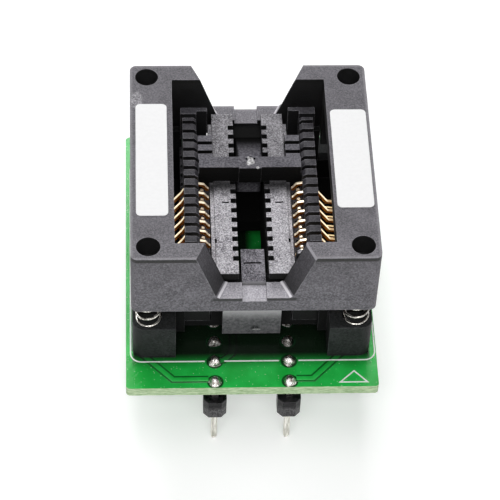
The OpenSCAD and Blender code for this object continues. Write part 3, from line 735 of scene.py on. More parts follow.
# %% Base plastic
SEAT_TOP = box_mm("socket_base")[1].z
SEAT_END = 10.875
SEAT_HALF_WIDTH = 5.32
BAR_LOW, BAR_HIGH = box_mm("stop_insert")
BAR_FRONT = BAR_LOW.y
BAR_BACK = BAR_FRONT + 1.6
TONGUE_TOP = SEAT_TOP - 1.25
TONGUE_HALF_WIDTH = 1.3
TAB_TOP = SEAT_TOP - 1.9
TAB_HALF_WIDTH = 3.05
SLOT_HALF_WIDTH = 1.7
EJECTOR_PLACE = Vector((0.38, -SEAT_END, BOARD_TOP + 2.0))
EJECTOR_SIZE = Vector((0.62, 0.3, 0.48))
GLINT_PLACE = EJECTOR_PLACE + Vector((0.15, 0.0, -0.3))
GLINT_SIZE = Vector((0.55, 0.3, 0.16))


def tab_mask(tree):
    """Mask of the upright faces of the two end tabs."""
    box = use_box(tree, folded_mm(tree), Vector((-1.0, SEAT_END - 0.1, 0.0)),
                  Vector((TAB_HALF_WIDTH, SEAT_END + 0.1, TAB_TOP)), CRISP)
    return times(tree, box, ramp_value(tree, facing(tree, 2), 0.6, 0.3))


def tongue_top_mask(tree):
    """Mask of the tongue's top."""
    return use_level(tree, TONGUE_TOP - 0.3, TONGUE_TOP + 0.3, TONGUE_HALF_WIDTH)


def end_mask(tree, half_width, top):
    """Mask of the base's upright end faces above the tabs."""
    box = use_box(tree, folded_mm(tree), Vector((-1.0, SEAT_END - 0.1, TAB_TOP)),
                  Vector((half_width, SEAT_END + 0.1, top)), CRISP)
    return times(tree, box, ramp_value(tree, facing(tree, 2), 0.4, 0.1))


def seat_shade(tree):
    """Mask of the seat beside the bar and behind it, painted darker as the bar's painted shadow and as
    painted shade behind the bar.
    """
    place = object_mm(tree)
    beside = use_box(tree, place, Vector((-6.0, BAR_FRONT - 2.2, 0.0)),
                     Vector((6.0, BAR_BACK - 0.2, BEYOND)), Vector((0.1, 1.7, 0.1)))
    behind = ramp_value(tree, part(tree, place, 1), BAR_BACK - 0.2, BAR_BACK, 0.0, 0.42)
    return plus(tree, times(tree, beside, 0.92), behind)


def base_plastic():
    """Dark moulding with a coarse bright texture on the seat and finer ones on the tongue and the tabs."""
    material, tree, shader = new_material("base_plastic")
    dark = use_grain(tree, dark=rgb(0.011, 0.012, 0.012), light=rgb(0.034, 0.036, 0.037), grains_per_mm=5.0,
                     speckle=0.15, rough=(0.45, 0.6))
    seat = use_grain(tree, dark=rgb(0.075, 0.07, 0.082), light=rgb(0.60, 0.585, 0.62), grains_per_mm=8.5,
                     speckle=0.60, rough=(0.38, 0.62))
    tongue = use_grain(tree, dark=rgb(0.030, 0.029, 0.035), light=rgb(0.29, 0.28, 0.31), grains_per_mm=7.5,
                       speckle=0.50, rough=(0.38, 0.62))
    tab = use_grain(tree, dark=rgb(0.060, 0.058, 0.064), light=rgb(0.15, 0.146, 0.156), grains_per_mm=4.0,
                    speckle=0.2, rough=(0.45, 0.6))
    # Painted shade: sideways faces and everything inside the base are painted darker.
    inside = use_box(tree, folded_mm(tree), FROM_MIDDLE, Vector((11.4, SEAT_END - 0.05, BEYOND)),
                     Vector((0.1, 0.03, 0.1)))
    turned = times(tree, ramp_value(tree, size_of(tree, facing(tree, 0)), 0.15, 0.6), 0.5)
    colour = tone_down(tree, tone_down(tree, dark["Color"], turned, 1.0), inside, 0.85)
    # Painted shade: the slot behind the bar is painted black.
    rear_slot_shade = use_box(tree, object_mm(tree), Vector((-SLOT_HALF_WIDTH, BAR_FRONT, 0.0)),
                        Vector((SLOT_HALF_WIDTH, SEAT_END, TAB_TOP + 0.1)), Vector((0.05, 0.05, 0.05)))
    colour = tone_down(tree, colour, rear_slot_shade, 1.0)
    height = part(tree, object_mm(tree), 2)
    # Painted light: the top part of the end tabs' faces is painted lighter, against the frame's shadow.
    upper = times(tree, ramp_value(tree, height, TAB_TOP - 6.0, TAB_TOP - 2.5),
                  ramp_value(tree, height, TAB_TOP - 2.0, TAB_TOP - 2.5))
    tab_colour = blend_colour(tree, upper, tab["Color"], rgb(0.68, 0.66, 0.69))
    colour = blend_colour(tree, tab_mask(tree), colour, tab_colour)
    pit = use_spot(tree, EJECTOR_PLACE, EJECTOR_SIZE, 0.75)
    colour = tone_down(tree, colour, pit, 0.95)
    glint = use_spot(tree, GLINT_PLACE, GLINT_SIZE, 0.6)
    colour = blend_colour(tree, glint, colour, rgb(0.36, 0.35, 0.36))
    # Painted shade on the seat's upright end faces.
    colour = tone_down(tree, colour, end_mask(tree, SEAT_HALF_WIDTH, SEAT_TOP - 0.03), 0.9)
    colour = blend_colour(tree, tongue_top_mask(tree), colour, tongue["Color"])
    # Painted light: the tongue's upright end face is painted lighter.
    tongue_end = end_mask(tree, TONGUE_HALF_WIDTH, TONGUE_TOP + 0.1)
    painted_light_end_colour = blend_colour(tree, 0.75, tongue["Color"], rgb(0.46, 0.45, 0.47))
    colour = blend_colour(tree, tongue_end, colour, painted_light_end_colour)
    on_seat = use_level(tree, SEAT_TOP - 0.9, SEAT_TOP + 1.2, SEAT_HALF_WIDTH)
    colour = blend_colour(tree, on_seat, colour, tone_down(tree, seat["Color"], seat_shade(tree), 1.0))
    wear_and_glint = less(tree, use_edge_wear_and_glint(tree, radius=0.12, amount=0.25), rear_slot_shade)
    rough = blend_value(tree, inside, dark["Roughness"], 0.95)
    rough = blend_value(tree, on_seat, rough, seat["Roughness"])
    finish_plastic(tree, shader, colour, rough, seat["Height"], 0.03, wear_and_glint, specular=0.08)
    return material


BASE_PLASTIC = base_plastic()
print("material:", BASE_PLASTIC.name)

# %% Comb, insert and header plastic
def plain_plastic(name, dark, light, grains_per_mm, speckle, rough, wear_and_glint_amount=0.0, upright_shade=0.0,
                  specular=0.3, lit_box=None, flakes=()):
    """One texture all over, with edges lighter from rubbing and a painted glint. The upright faces are
    painted darker as painted shade by an amount of their own, lit_box is a soft box outside which the piece
    is painted dark as shade, and flakes are ragged spots, each with its colour."""
    material, tree, shader = new_material(name)
    texture = use_grain(tree, dark, light, grains_per_mm, speckle, rough)
    # Painted shade on the upright faces.
    colour = tone_down(tree, texture["Color"], ramp_value(tree, facing(tree, 2), 0.55, 0.25), upright_shade)
    wear_and_glint = use_edge_wear_and_glint(tree, radius=0.1, amount=wear_and_glint_amount)
    if lit_box:
        colour = blend_colour(tree, use_box(tree, object_mm(tree), *lit_box), BLACK, colour)
    for tint, *spot in flakes:
        colour = blend_colour(tree, use_spot(tree, *spot), colour, tint)
    finish_plastic(tree, shader, colour, texture["Roughness"], texture["Height"], 0.02, wear_and_glint,
                   specular=specular)
    return material


COMB_PLASTIC = plain_plastic("comb_plastic", dark=rgb(0.015, 0.014, 0.018), light=rgb(0.052, 0.050, 0.057),
                             grains_per_mm=4.5, speckle=0.25, rough=(0.45, 0.60), wear_and_glint_amount=0.9,
                             upright_shade=0.9, specular=0.2)
BAR_DARK = rgb(0.048, 0.046, 0.056)
BAR_LIGHT = rgb(0.175, 0.170, 0.188)
INSERT_PLASTIC = plain_plastic("insert_plastic", BAR_DARK, BAR_LIGHT, grains_per_mm=4.5, speckle=0.25,
                               rough=(0.50, 0.68), wear_and_glint_amount=0.4, upright_shade=1.0, specular=0.08)
HEADER_LOW = box_mm("left_header")[0]
FLAKE_TINT = rgb(0.13, 0.126, 0.13)
FLAKE_SIZE = Vector((2.6, 1.6, 1.7))
HEADER_FLAKES = []
for sign in SIDE_SIGNS.values():
    flake_place = Vector((sign * ROW_X, HEADER_LOW.y, HEADER_LOW.z + 0.2))
    HEADER_FLAKES.append((FLAKE_TINT, flake_place, FLAKE_SIZE, 0.85))
HEADER_PLASTIC = plain_plastic("header_plastic", dark=rgb(0.002, 0.002, 0.002),
                               light=rgb(0.014, 0.013, 0.015), grains_per_mm=2.6, speckle=0.9,
                               rough=(0.22, 0.46), wear_and_glint_amount=0.3, specular=0.15, flakes=HEADER_FLAKES)
print("materials:", COMB_PLASTIC.name, INSERT_PLASTIC.name, HEADER_PLASTIC.name)

# %% [markdown]
# ## Metals
# The contacts are stamped from sheet and plated with gold, the springs are drawn wire, the pins are
# tinned square wire and the joints are solder. All four are metallic, so their look comes from what they
# mirror: the base colour tints it, and a slow noise in the roughness keeps it from looking like chrome.
# The gold is painted with highlights on its rims that look up, painted shade in the cups and a weak painted
# glow, and the solder under the socket is painted darker as its shadow.

# %% Metal finishes
def metal(name, dark, light, rough, streak, bump_mm=0.004, shade_box=None):
    """Metal with stretched noise in its colour and roughness. streak squeezes the noise along each axis,
    and the last argument is a soft box in which the metal is painted darker as painted shade."""
    material, tree, shader = new_material(name)
    squeeze = vector_node(tree, "MULTIPLY", object_mm(tree), streak)
    lines = noise_value(tree, squeeze, 1.0, 4.0, roughness=0.6)
    value = ramp_value(tree, lines, 0.30, 0.70)
    colour = blend_colour(tree, value, dark, light)
    shader.inputs["Metallic"].default_value = 1.0
    # Painted shade inside the given box.
    if shade_box:
        colour = tone_down(tree, colour, use_box(tree, folded_mm(tree), *shade_box), 0.7)
    tree.links.new(colour, shader.inputs["Base Color"])
    tree.links.new(ramp_value(tree, lines, 0.30, 0.70, rough[1], rough[0]), shader.inputs["Roughness"])
    add_bump(tree, shader, value, 0.5, bump_mm)
    return material


def paint_gold_highlights(material, pale, shaded, glows, cups):
    """Pale rims painted on the faces that look up as painted highlights, apart from those in the cups' box,
    which lie deep in the slots and are painted darker as painted shade. The gold strips stand close together
    and light each other, and a weak painted glow stands in for that: shaded on their sides, and on the rims a
    colour for each box of the glows."""
    tree = material.node_tree
    shader = tree.nodes["Principled BSDF"]
    colour = shader.inputs["Base Color"].links[0].from_socket
    place = folded_mm(tree)
    deep = use_box(tree, place, *cups)
    up = less(tree, ramp_value(tree, facing(tree, 2), 0.15, 0.65), deep)
    # Painted highlight on the rims that look up, painted shade in the cups.
    colour = blend_colour(tree, up, tone_down(tree, colour, deep, 0.75), pale)
    tree.links.new(colour, shader.inputs["Base Color"])
    tree.links.new(ramp_value(tree, up, 0.0, 1.0, 1.0, 0.45), shader.inputs["Metallic"])
    glow = shaded
    for tint, box in glows:
        glow = blend_colour(tree, times(tree, up, use_box(tree, place, *box)), glow, tint)
    tree.links.new(glow, shader.inputs["Emission Color"])
    shader.inputs["Emission Strength"].default_value = 1.0


def along_row(x, z, soft):
    """Soft box along a whole row of contacts, between two places across it and two heights."""
    row_reach = 20.0
    return Vector((x[0], -row_reach, z[0])), Vector((x[1], row_reach, z[1])), Vector(soft)


FINGERS = along_row(x=(4.5, 6.3), z=(20.2, BEYOND), soft=(0.2, 0.3, 0.2))
LEVERS = along_row(x=(6.9, 20.0), z=(-20.0, BEYOND), soft=(0.3, 0.3, 0.3))
SLOPES = along_row(x=(6.5, 8.3), z=(17.5, BEYOND), soft=(0.4, 0.3, 0.3))
CUPS = along_row(x=(6.8, 7.5), z=(17.2, 18.62), soft=(0.05, 0.3, 0.05))
STRANDS = along_row(x=(7.5, 9.0), z=(16.8, 17.55), soft=(0.2, 0.3, 0.1))
GLOWS = ((rgb(0.14, 0.11, 0.07), FINGERS), (rgb(0.34, 0.19, 0.06), LEVERS),
         (rgb(0.92, 0.80, 0.54), SLOPES), (rgb(0.72, 0.52, 0.25), STRANDS))
GOLD = metal("gold_plating", dark=rgb(0.32, 0.105, 0.013), light=rgb(0.70, 0.35, 0.075),
             rough=(0.22, 0.36), streak=(3.0, 9.0, 3.0))
paint_gold_highlights(GOLD, pale=rgb(1.0, 0.89, 0.68), shaded=rgb(0.030, 0.008, 0.001), glows=GLOWS, cups=CUPS)
SPRING_WIRE = metal("spring_wire", dark=rgb(0.10, 0.095, 0.085), light=rgb(0.66, 0.64, 0.60),
                    rough=(0.14, 0.30), streak=(4.0, 4.0, 9.0))
TIN = metal("tinned_pin", dark=rgb(0.42, 0.40, 0.35), light=rgb(0.95, 0.93, 0.87),
            rough=(0.26, 0.40), streak=(5.0, 5.0, 0.5))
SOLDER = metal("solder", dark=rgb(0.15, 0.12, 0.10), light=rgb(0.94, 0.92, 0.89),
               rough=(0.10, 0.36), streak=(3.4, 3.4, 3.4), bump_mm=0.05, shade_box=UNDER_SOCKET)
print("metals:", GOLD.name, SPRING_WIRE.name, TIN.name, SOLDER.name)

# %% [markdown]
# ## Board finish
# The board is glass fibre with a glossy green mask on both faces and a pale sawn edge where the fibres
# show. The normal tells face from edge. Inside the holes the wall is plated, and round each header hole
# the mask steps down to the pad, which the photograph shows as a dark ring.
# The dark ring is partly that step and partly painted shadow round the joint.

# %% Solder mask
def dust_mask(tree, place, specks_per_mm, largest):
    """Mask of scattered specks of dust, most of them tiny."""
    cells = put(tree, "ShaderNodeTexVoronoi", {"Vector": place, "Scale": specks_per_mm},
                voronoi_dimensions="2D")
    pick = put(tree, "ShaderNodeSeparateColor", {0: cells.outputs["Color"]}).outputs[0]
    size = ramp_value(tree, pick, 0.72, 1.0, 0.0, largest)
    left = math_node(tree, "SUBTRACT", size, cells.outputs["Distance"])
    return ramp_value(tree, left, 0.0, 0.06)


def pad_ring_and_shadow_mask(tree, place):
    """Mask of the ring round each header hole where the mask steps down to the pad, painted darker also as
    painted shadow round the joint.
    """
    off_row = math_node(tree, "SUBTRACT", size_of(tree, part(tree, place, 0)), ROW_X)
    along = math_node(tree, "SUBTRACT", part(tree, place, 1), FIRST_PIN_Y)
    off_pin = put(tree, "ShaderNodeMath", {0: along, 1: -PIN_PITCH / 2, 2: PIN_PITCH / 2},
                  operation="WRAP").outputs[0]
    to_pin = put(tree, "ShaderNodeCombineXYZ", {0: off_row, 1: off_pin}).outputs[0]
    far = vector_size(tree, "LENGTH", to_pin)
    return ramp_value(tree, far, 0.92, 0.80)


LIT_WINDOW = (Vector((-0.2, 0.2, 0.0)), Vector((3.6, 5.0, 20.0)), Vector((1.2, 1.8, 0.1)))


def board_finish():
    """Green mask on the faces, pale fibres on the sawn edge, plating in the holes."""
    material, tree, shader = new_material("green_solder_mask")
    place = object_mm(tree)
    face = ramp_value(tree, size_of(tree, facing(tree, 2)), 0.45, 0.75)
    mottle = noise_value(tree, place, 0.35, 3.0)
    green = blend_colour(tree, ramp_value(tree, mottle, 0.3, 0.7), rgb(0.012, 0.42, 0.051),
                         rgb(0.022, 0.56, 0.086))
    dust = plus(tree, dust_mask(tree, place, 3.0, 0.16), dust_mask(tree, place, 1.1, 0.09))
    green = blend_colour(tree, times(tree, dust, 0.7), green, rgb(0.62, 0.84, 0.66))
    window = use_box(tree, place, *LIT_WINDOW)
    shade = less(tree, use_box(tree, folded_mm(tree), *UNDER_SOCKET), times(tree, window, 0.55))
    green = tone_down(tree, green, shade, SOCKET_SHADE)
    # Dark ring round each pad: the mask's step and painted shadow round the joint.
    green = blend_colour(tree, times(tree, pad_ring_and_shadow_mask(tree, place), 0.92), green,
                         rgb(0.004, 0.022, 0.008))
    fibre_place = vector_node(tree, "MULTIPLY", place, (0.9, 0.9, 7.0))
    fibre = noise_value(tree, fibre_place, 1.6, 4.0, roughness=0.65)
    threads = ramp_value(tree, fibre, 0.32, 0.68)
    sawn = blend_colour(tree, threads, rgb(0.26, 0.42, 0.19), rgb(0.66, 0.80, 0.54))
    middle = Vector((0.0, BOARD_MIDDLE_Y, 0.0))
    reach = Vector((BOARD_HIGH.x - 1.0, BOARD_HIGH.y - BOARD_MIDDLE_Y - 0.15, BEYOND))
    in_board = use_box(tree, place, middle - reach, middle + reach, CRISP)
    plated = times(tree, in_board, less(tree, 1.0, face))
    sawn = blend_colour(tree, plated, sawn, rgb(0.68, 0.66, 0.60))
    tree.links.new(blend_colour(tree, face, sawn, green), shader.inputs["Base Color"])
    tree.links.new(plated, shader.inputs["Metallic"])
    shader.inputs["Specular IOR Level"].default_value = 0.35
    tree.links.new(ramp_value(tree, face, 0.0, 1.0, 0.7, 0.2), shader.inputs["Roughness"])
    weave = noise_value(tree, place, 1.3, 2.0)
    add_bump(tree, shader, plus(tree, times(tree, weave, face), threads), 0.25, 0.05)
    return material


BOARD_FINISH = board_finish()
print("material:", BOARD_FINISH.name)

# %% Label film and print
def label_film():
    """White film with a satin surface and faint waves where it was pressed down."""
    material, tree, shader = new_material("label_film")
    place = object_mm(tree)
    fibres = noise_value(tree, place, 3.0, 3.0)
    waves = noise_value(tree, place, 0.22, 1.0)
    tint = ramp_value(tree, fibres, 0.3, 0.7)
    white = blend_colour(tree, tint, rgb(0.80, 0.80, 0.805), rgb(0.825, 0.825, 0.83))
    tree.links.new(white, shader.inputs["Base Color"])
    tree.links.new(ramp_value(tree, fibres, 0.3, 0.7, 0.55, 0.66), shader.inputs["Roughness"])
    shader.inputs["Specular IOR Level"].default_value = 0.2
    add_bump(tree, shader, waves, 0.2, 0.05)
    return material


def print_white():
    """White board print, thin enough for the green to show through in places."""
    material, tree, shader = new_material("board_print")
    pores = noise_value(tree, object_mm(tree), 5.0, 3.0)
    cover = ramp_value(tree, pores, 0.30, 0.42)
    ink = blend_colour(tree, cover, rgb(0.60, 0.74, 0.62), rgb(0.93, 0.95, 0.93))
    tree.links.new(ink, shader.inputs["Base Color"])
    tree.links.new(ramp_value(tree, pores, 0.3, 0.7, 0.5, 0.7), shader.inputs["Roughness"])
    return material


LABEL_FILM = label_film()
PRINT_WHITE = print_white()
print("materials:", LABEL_FILM.name, PRINT_WHITE.name)

# %% [markdown]
# ## Dress the solids
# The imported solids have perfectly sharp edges, and no moulded or stamped edge is. Four modifiers, which
# leave the solid itself as it was, weld the triangles, join those that lie flat, round the edges by some
# hundredths of a millimetre and set the normals by face, so that a flat face stays flat and only its rim
# catches the light.

# %% Edges and materials of the solids
def round_edges(solid, width):
    """Rounded rims on a solid, in millimetres."""
    weld = solid.modifiers.new("Weld triangles", "WELD")
    weld.merge_threshold = 0.001 * MM
    flat = solid.modifiers.new("Join flat faces", "DECIMATE")
    flat.decimate_type = "DISSOLVE"
    flat.angle_limit = math.radians(1.0)
    rim = solid.modifiers.new("Round rims", "BEVEL")
    rim.width = width * MM
    rim.segments = 2
    rim.limit_method = "ANGLE"
    rim.angle_limit = math.radians(35.0)
    rim.miter_outer = "MITER_ARC"
    normals = solid.modifiers.new("Flat face normals", "WEIGHTED_NORMAL")
    normals.weight = 100


def dress(name, material, width):
    """Give a solid its material and rounded rims."""
    solid = nodes[name]
    solid.data.materials.clear()
    solid.data.materials.append(material)
    round_edges(solid, width)


dress("circuit_board", BOARD_FINISH, 0.04)
dress("socket_base", BASE_PLASTIC, 0.07)
dress("stop_insert", INSERT_PLASTIC, 0.08)
dress("press_frame", FRAME_PLASTIC, 0.14)
for side in SIDE_SIGNS:
    dress(f"{side}_header", HEADER_PLASTIC, 0.06)
    dress(f"{side}_header_pins", TIN, 0.05)
    dress(f"{side}_contact_block", COMB_PLASTIC, 0.05)
    dress(f"{side}_label", LABEL_FILM, 0.02)
for name in [n for n in nodes if "_contact_" in n and not n.endswith("_block")]:
    dress(name, GOLD, 0.04)
print("dressed:", sum(1 for o in nodes.values() if o.modifiers))

# %% [markdown]
# ## Springs
# Each corner of the frame rests on a coil of drawn wire with closed ends: the first and last turn lie
# flat. The solid's coil has few sides, so a finer one is swept here along the same helix. Its pitch grows
# from one wire at the ends to the open pitch in the middle.

# %% Coils
WIRE = 0.26
WIRE_SIDES = 12
SPRING_TURNS = 7.5
STEPS_PER_TURN = 36


def coil_heights(turns, steps, height):
    """Heights along a coil that starts and ends with a closed turn."""
    rates = []
    for i in range(steps):
        turn = (i + 0.5) / steps * turns
        opened = min(1.0, max(0.0, min(turn, turns - turn) - 0.6) / 0.6)
        rates.append(0.22 + 0.78 * opened * opened * (3 - 2 * opened))
    scale = (height - WIRE) / sum(rates)
    heights = [WIRE / 2]
    for rate in rates:
        heights.append(heights[-1] + rate * scale)
    return heights


def coil_spring(node):
    """Swept coil in place of a spring's solid."""
    low, high = box_mm(node)
    middle = (low + high) / 2
    ring = (high.x - low.x) / 2 - WIRE / 2
    steps = int(SPRING_TURNS * STEPS_PER_TURN)
    heights = coil_heights(SPRING_TURNS, steps, high.z - low.z)
    bm = bmesh.new()
    rows = []
    for i, z in enumerate(heights):
        turn = 2 * math.pi * SPRING_TURNS * i / steps
        outward = Vector((math.cos(turn), math.sin(turn), 0))
        centre = Vector((middle.x, middle.y, low.z + z)) + outward * ring
        row = []
        for k in range(WIRE_SIDES):
            round_wire = 2 * math.pi * k / WIRE_SIDES
            offset = outward * math.cos(round_wire) + Vector((0, 0, 1)) * math.sin(round_wire)
            row.append(bm.verts.new((centre + offset * WIRE / 2) * MM))
        rows.append(row)
    join_rings(bm, rows, closed_ends=True)
    piece = object_from(bm, node + "_coil", "base", SPRING_WIRE)
    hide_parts(node)
    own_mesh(piece)
    return piece


for end in ENDS:
    for side in SIDE_SIGNS:
        coil = coil_spring(f"{end}_{side}_spring")
        print(coil.name, "faces:", len(coil.data.polygons))

# %% [markdown]
# ## Solder joints and pads
# The header is soldered from above: bright blobs that rise from the pad in a hollow curve and close over
# the pin. Hand soldering is never even, so each blob gets its own slow noise. Round every hole lies a
# thin tinned pad, and below the board each tail of a contact has a smaller cone of solder. The tails
# stand in two staggered rows.

# %% Joints and pads
PAD_R = 0.72
HOLE_R = 0.5
PAD_T = 0.03
BLOB = [(0.66, 0.01), (0.61, 0.10), (0.56, 0.22), (0.50, 0.34), (0.42, 0.46), (0.32, 0.55), (0.20, 0.61),
        (0.08, 0.63)]


def uneven_blob(bm, centre, profile, seed):
    """One uneven blob, closed at its top and bottom."""
    add_revolved(bm, centre, profile, segments=28, wobble=0.22, seed=seed, closed_ends=True)


def pad_ring(bm, centre, inner, outer, thickness):
    """Thin ring of tinned copper."""
    profile = [(inner, 0.0), (outer, 0.0), (outer - 0.02, thickness), (inner, thickness), (inner, 0.0)]
    add_revolved(bm, centre, profile, segments=40)


for side, sign in SIDE_SIGNS.items():
    bm = bmesh.new()
    for k, y in enumerate(pin_places[:PINS_FITTED]):
        uneven_blob(bm, (sign * ROW_X, y, BOARD_TOP), BLOB, seed=3.7 * k + sign)
    joints = object_from(bm, f"{side}_solder_blobs", "base", SOLDER, smooth_angle=80)
    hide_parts(f"{side}_solder_joints")
    bm = bmesh.new()
    for k, y in enumerate(pin_places):
        if k >= PINS_FITTED:
            pad_ring(bm, (sign * ROW_X, y, BOARD_TOP), HOLE_R, PAD_R, PAD_T)
        pad_ring(bm, (sign * ROW_X, y, BOARD_BOTTOM), HOLE_R, PAD_R, -PAD_T)
    object_from(bm, f"{side}_header_pads", "base", TIN)
print("joints:", 2 * PINS_FITTED, "pads:", 2 * (2 * PIN_ROW - PINS_FITTED))

# %% Tails below the board
TAIL_ROWS = (5.35, 6.55)
TAIL_HOLE_R = 0.35
TAIL_PAD_R = 0.58
TAIL_CONE = [(0.52, -0.01), (0.40, -0.10), (0.30, -0.26), (0.25, -0.45), (0.22, -0.62)]
for side, sign in SIDE_SIGNS.items():
    cones, pads = bmesh.new(), bmesh.new()
    for k, y in enumerate(slot_places):
        centre = (sign * TAIL_ROWS[k % 2], y, BOARD_BOTTOM)
        pad_ring(pads, centre, TAIL_HOLE_R, TAIL_PAD_R, -PAD_T)
        if k < CONTACTS_FITTED:
            uneven_blob(cones, centre, TAIL_CONE, seed=2.3 * k - sign)
    object_from(cones, f"{side}_tail_joints", "base", SOLDER, smooth_angle=80)
    object_from(pads, f"{side}_tail_pads", "base", TIN)
print("tails:", 2 * CONTACTS_FITTED, "tail pads:", 2 * SLOT_ROW)

# %% [markdown]
# ## Print and tracks on the board
# Under the mask the copper tracks stand a little proud, and the mask is thinner and darker along their
# edges. The white print is ink on top of the mask: an outline of the socket with gaps at the pads, and a
# triangle at the first pin. Both are thin strips with sloping sides.

# %% Tracks
def track_finish(name, dark, light):
    """Glossy green mask over copper."""
    material, tree, shader = new_material(name)
    mottle = noise_value(tree, object_mm(tree), 0.5, 3.0)
    green = blend_colour(tree, ramp_value(tree, mottle, 0.3, 0.7), dark, light)
    green = tone_down(tree, green, use_box(tree, folded_mm(tree), *UNDER_SOCKET), SOCKET_SHADE)
    tree.links.new(green, shader.inputs["Base Color"])
    tree.links.new(ramp_value(tree, mottle, 0.3, 0.7, 0.18, 0.26), shader.inputs["Roughness"])
    return material


TRACK_FINISH = track_finish("masked_track", rgb(0.012, 0.44, 0.052), rgb(0.022, 0.57, 0.086))
TRACK_RIM = track_finish("thin_mask", rgb(0.004, 0.12, 0.018), rgb(0.006, 0.17, 0.028))
TRACK_W = 0.62
TRACK_H = 0.025
RIM_W = 0.32
JOINT_1 = pin_places[0]
JOINT_2 = pin_places[1]
top_tracks = [
    [(-4.5, JOINT_1 + 0.35), (-8.1, JOINT_1 + 0.35), (-11.9, -12.0), (-11.9, 6.0)],
    [(4.5, JOINT_1 + 0.35), (6.2, JOINT_1 + 0.35), (9.4, -12.6), (9.4, 4.0)],
    [(-3.4, JOINT_2 + 0.1), (-2.9, JOINT_2 + 0.2), (-2.05, JOINT_2 + 1.0), (-1.85, JOINT_2 + 1.5),
     (-1.85, -8.0)],
]
right_tracks = [
    [(ROW_X, JOINT_1), (5.0, JOINT_1), (TAIL_ROWS[0], JOINT_1 + 0.35), (TAIL_ROWS[0], slot_places[0])],
    [(ROW_X, pin_places[6]), (4.6, pin_places[6]), (TAIL_ROWS[0], slot_places[6])],
    [(ROW_X, pin_places[7]), (4.8, pin_places[7]), (5.7, slot_places[7]), (TAIL_ROWS[1], slot_places[7])],
]
bottom_tracks = []
for sign in SIDE_SIGNS.values():
    bottom_tracks += [[(sign * x, y) for x, y in points] for points in right_tracks]
copper, rims = bmesh.new(), bmesh.new()
for points in bottom_tracks:
    add_strip(copper, points, TRACK_W / 2, BOARD_BOTTOM + SUNK, BOARD_BOTTOM - TRACK_H, shrink=0.7)
for points in top_tracks:
    add_strip(copper, points, TRACK_W, BOARD_TOP - SUNK, BOARD_TOP + TRACK_H, shrink=0.7)
    for rim in strip_sides(points, TRACK_W):
        add_strip(rims, rim, RIM_W, BOARD_TOP - SUNK, BOARD_TOP + TRACK_H / 2, shrink=0.6)
object_from(copper, "board_tracks", "base", TRACK_FINISH)
object_from(rims, "board_track_rims", "base", TRACK_RIM)
print("tracks:", len(top_tracks), "above and", len(bottom_tracks), "below")

# %% Print
PRINT_W = 0.16
PRINT_H = 0.04
OUTLINE_LOW = Vector((-12.42, -13.65))
OUTLINE_HIGH = Vector((12.75, 13.65))
OUTLINE_R = 1.1
PAD_GAP = 1.0
TRIANGLE = [(8.95, -16.45), (11.75, -16.45), (10.45, -15.05)]


def corner_arc(cx, cy, start, steps=8):
    """Quarter circle of the outline."""
    turns = [math.radians(start + 90.0 * i / steps) for i in range(steps + 1)]
    return [(cx + OUTLINE_R * math.cos(a), cy + OUTLINE_R * math.sin(a)) for a in turns]


def outline_runs():
    """Outline of the socket in runs that stop short of the pads."""
    x0, y0, x1, y1 = OUTLINE_LOW.x, OUTLINE_LOW.y, OUTLINE_HIGH.x, OUTLINE_HIGH.y
    r = OUTLINE_R
    inner, outer = ROW_X - PAD_GAP, ROW_X + PAD_GAP
    left_corners = corner_arc(x0 + r, y1 - r, 90) + corner_arc(x0 + r, y0 + r, 180)
    right_corners = corner_arc(x1 - r, y0 + r, 270) + corner_arc(x1 - r, y1 - r, 0)
    left = [(-outer, y1)] + left_corners + [(-outer, y0)]
    right = [(outer, y0)] + right_corners + [(outer, y1)]
    return [left, right, [(-inner, y0), (inner, y0)], [(-inner, y1), (inner, y1)]]


bm = bmesh.new()
for points in outline_runs():
    add_strip(bm, points, PRINT_W, BOARD_TOP - SUNK, BOARD_TOP + PRINT_H)
add_strip(bm, TRIANGLE, PRINT_W, BOARD_TOP - SUNK, BOARD_TOP + PRINT_H, closed=True)
object_from(bm, "board_print", "base", PRINT_WHITE)
print("print runs:", len(outline_runs()) + 1)

# %% [markdown]
# ## Small marks of moulding
# A moulding shows how it was made. Where the plastic was fed into the bar's mould, the sprue was torn off
# and left a pale ragged stub. Thin dark lines on the seat and the tongue are the joints between the
# mould's inserts. Behind the bar its middle runs out in a rounded heel that sinks into the slot between
# the seats, and a thin web stands at the front of each row of contacts. The levers curl under at their
# ends, and the strand that runs back below each one shows between them.

# %% Heel of the bar
HEEL_HALF_WIDTH = 1.3
HEEL_LIT = (Vector((-1.4, BAR_FRONT - 2.0, 0.0)), Vector((1.4, BAR_BACK + 3.2, BEYOND)),
            Vector((0.55, 3.4, 0.1)))
HEEL_PLASTIC = plain_plastic("heel_plastic", BAR_DARK, BAR_LIGHT, grains_per_mm=4.5, speckle=0.25,
                             rough=(0.5, 0.7), specular=0.0, lit_box=HEEL_LIT)
heel_profile = [(-0.1, -0.02), (1.0, -0.2), (2.1, -0.5), (3.1, -0.95), (3.9, -1.5), (4.5, -2.3),
                (4.9, -3.4), (5.1, -5.3)]
heel_rows = []
for share, drop in ((-1.0, 0.14), (-0.92, 0.0), (0.92, 0.0), (1.0, 0.14)):
    row = [(share * HEEL_HALF_WIDTH, BAR_BACK + y, BAR_HIGH.z + z - drop) for y, z in heel_profile]
    row.append((share * HEEL_HALF_WIDTH, BAR_BACK - 0.1, BAR_HIGH.z - 5.4))
    heel_rows.append(row)
bm = bmesh.new()
add_swept(bm, heel_rows)
heel = object_from(bm, "bar_heel", "base", HEEL_PLASTIC, smooth_angle=50)
print("heel faces:", len(heel.data.polygons))

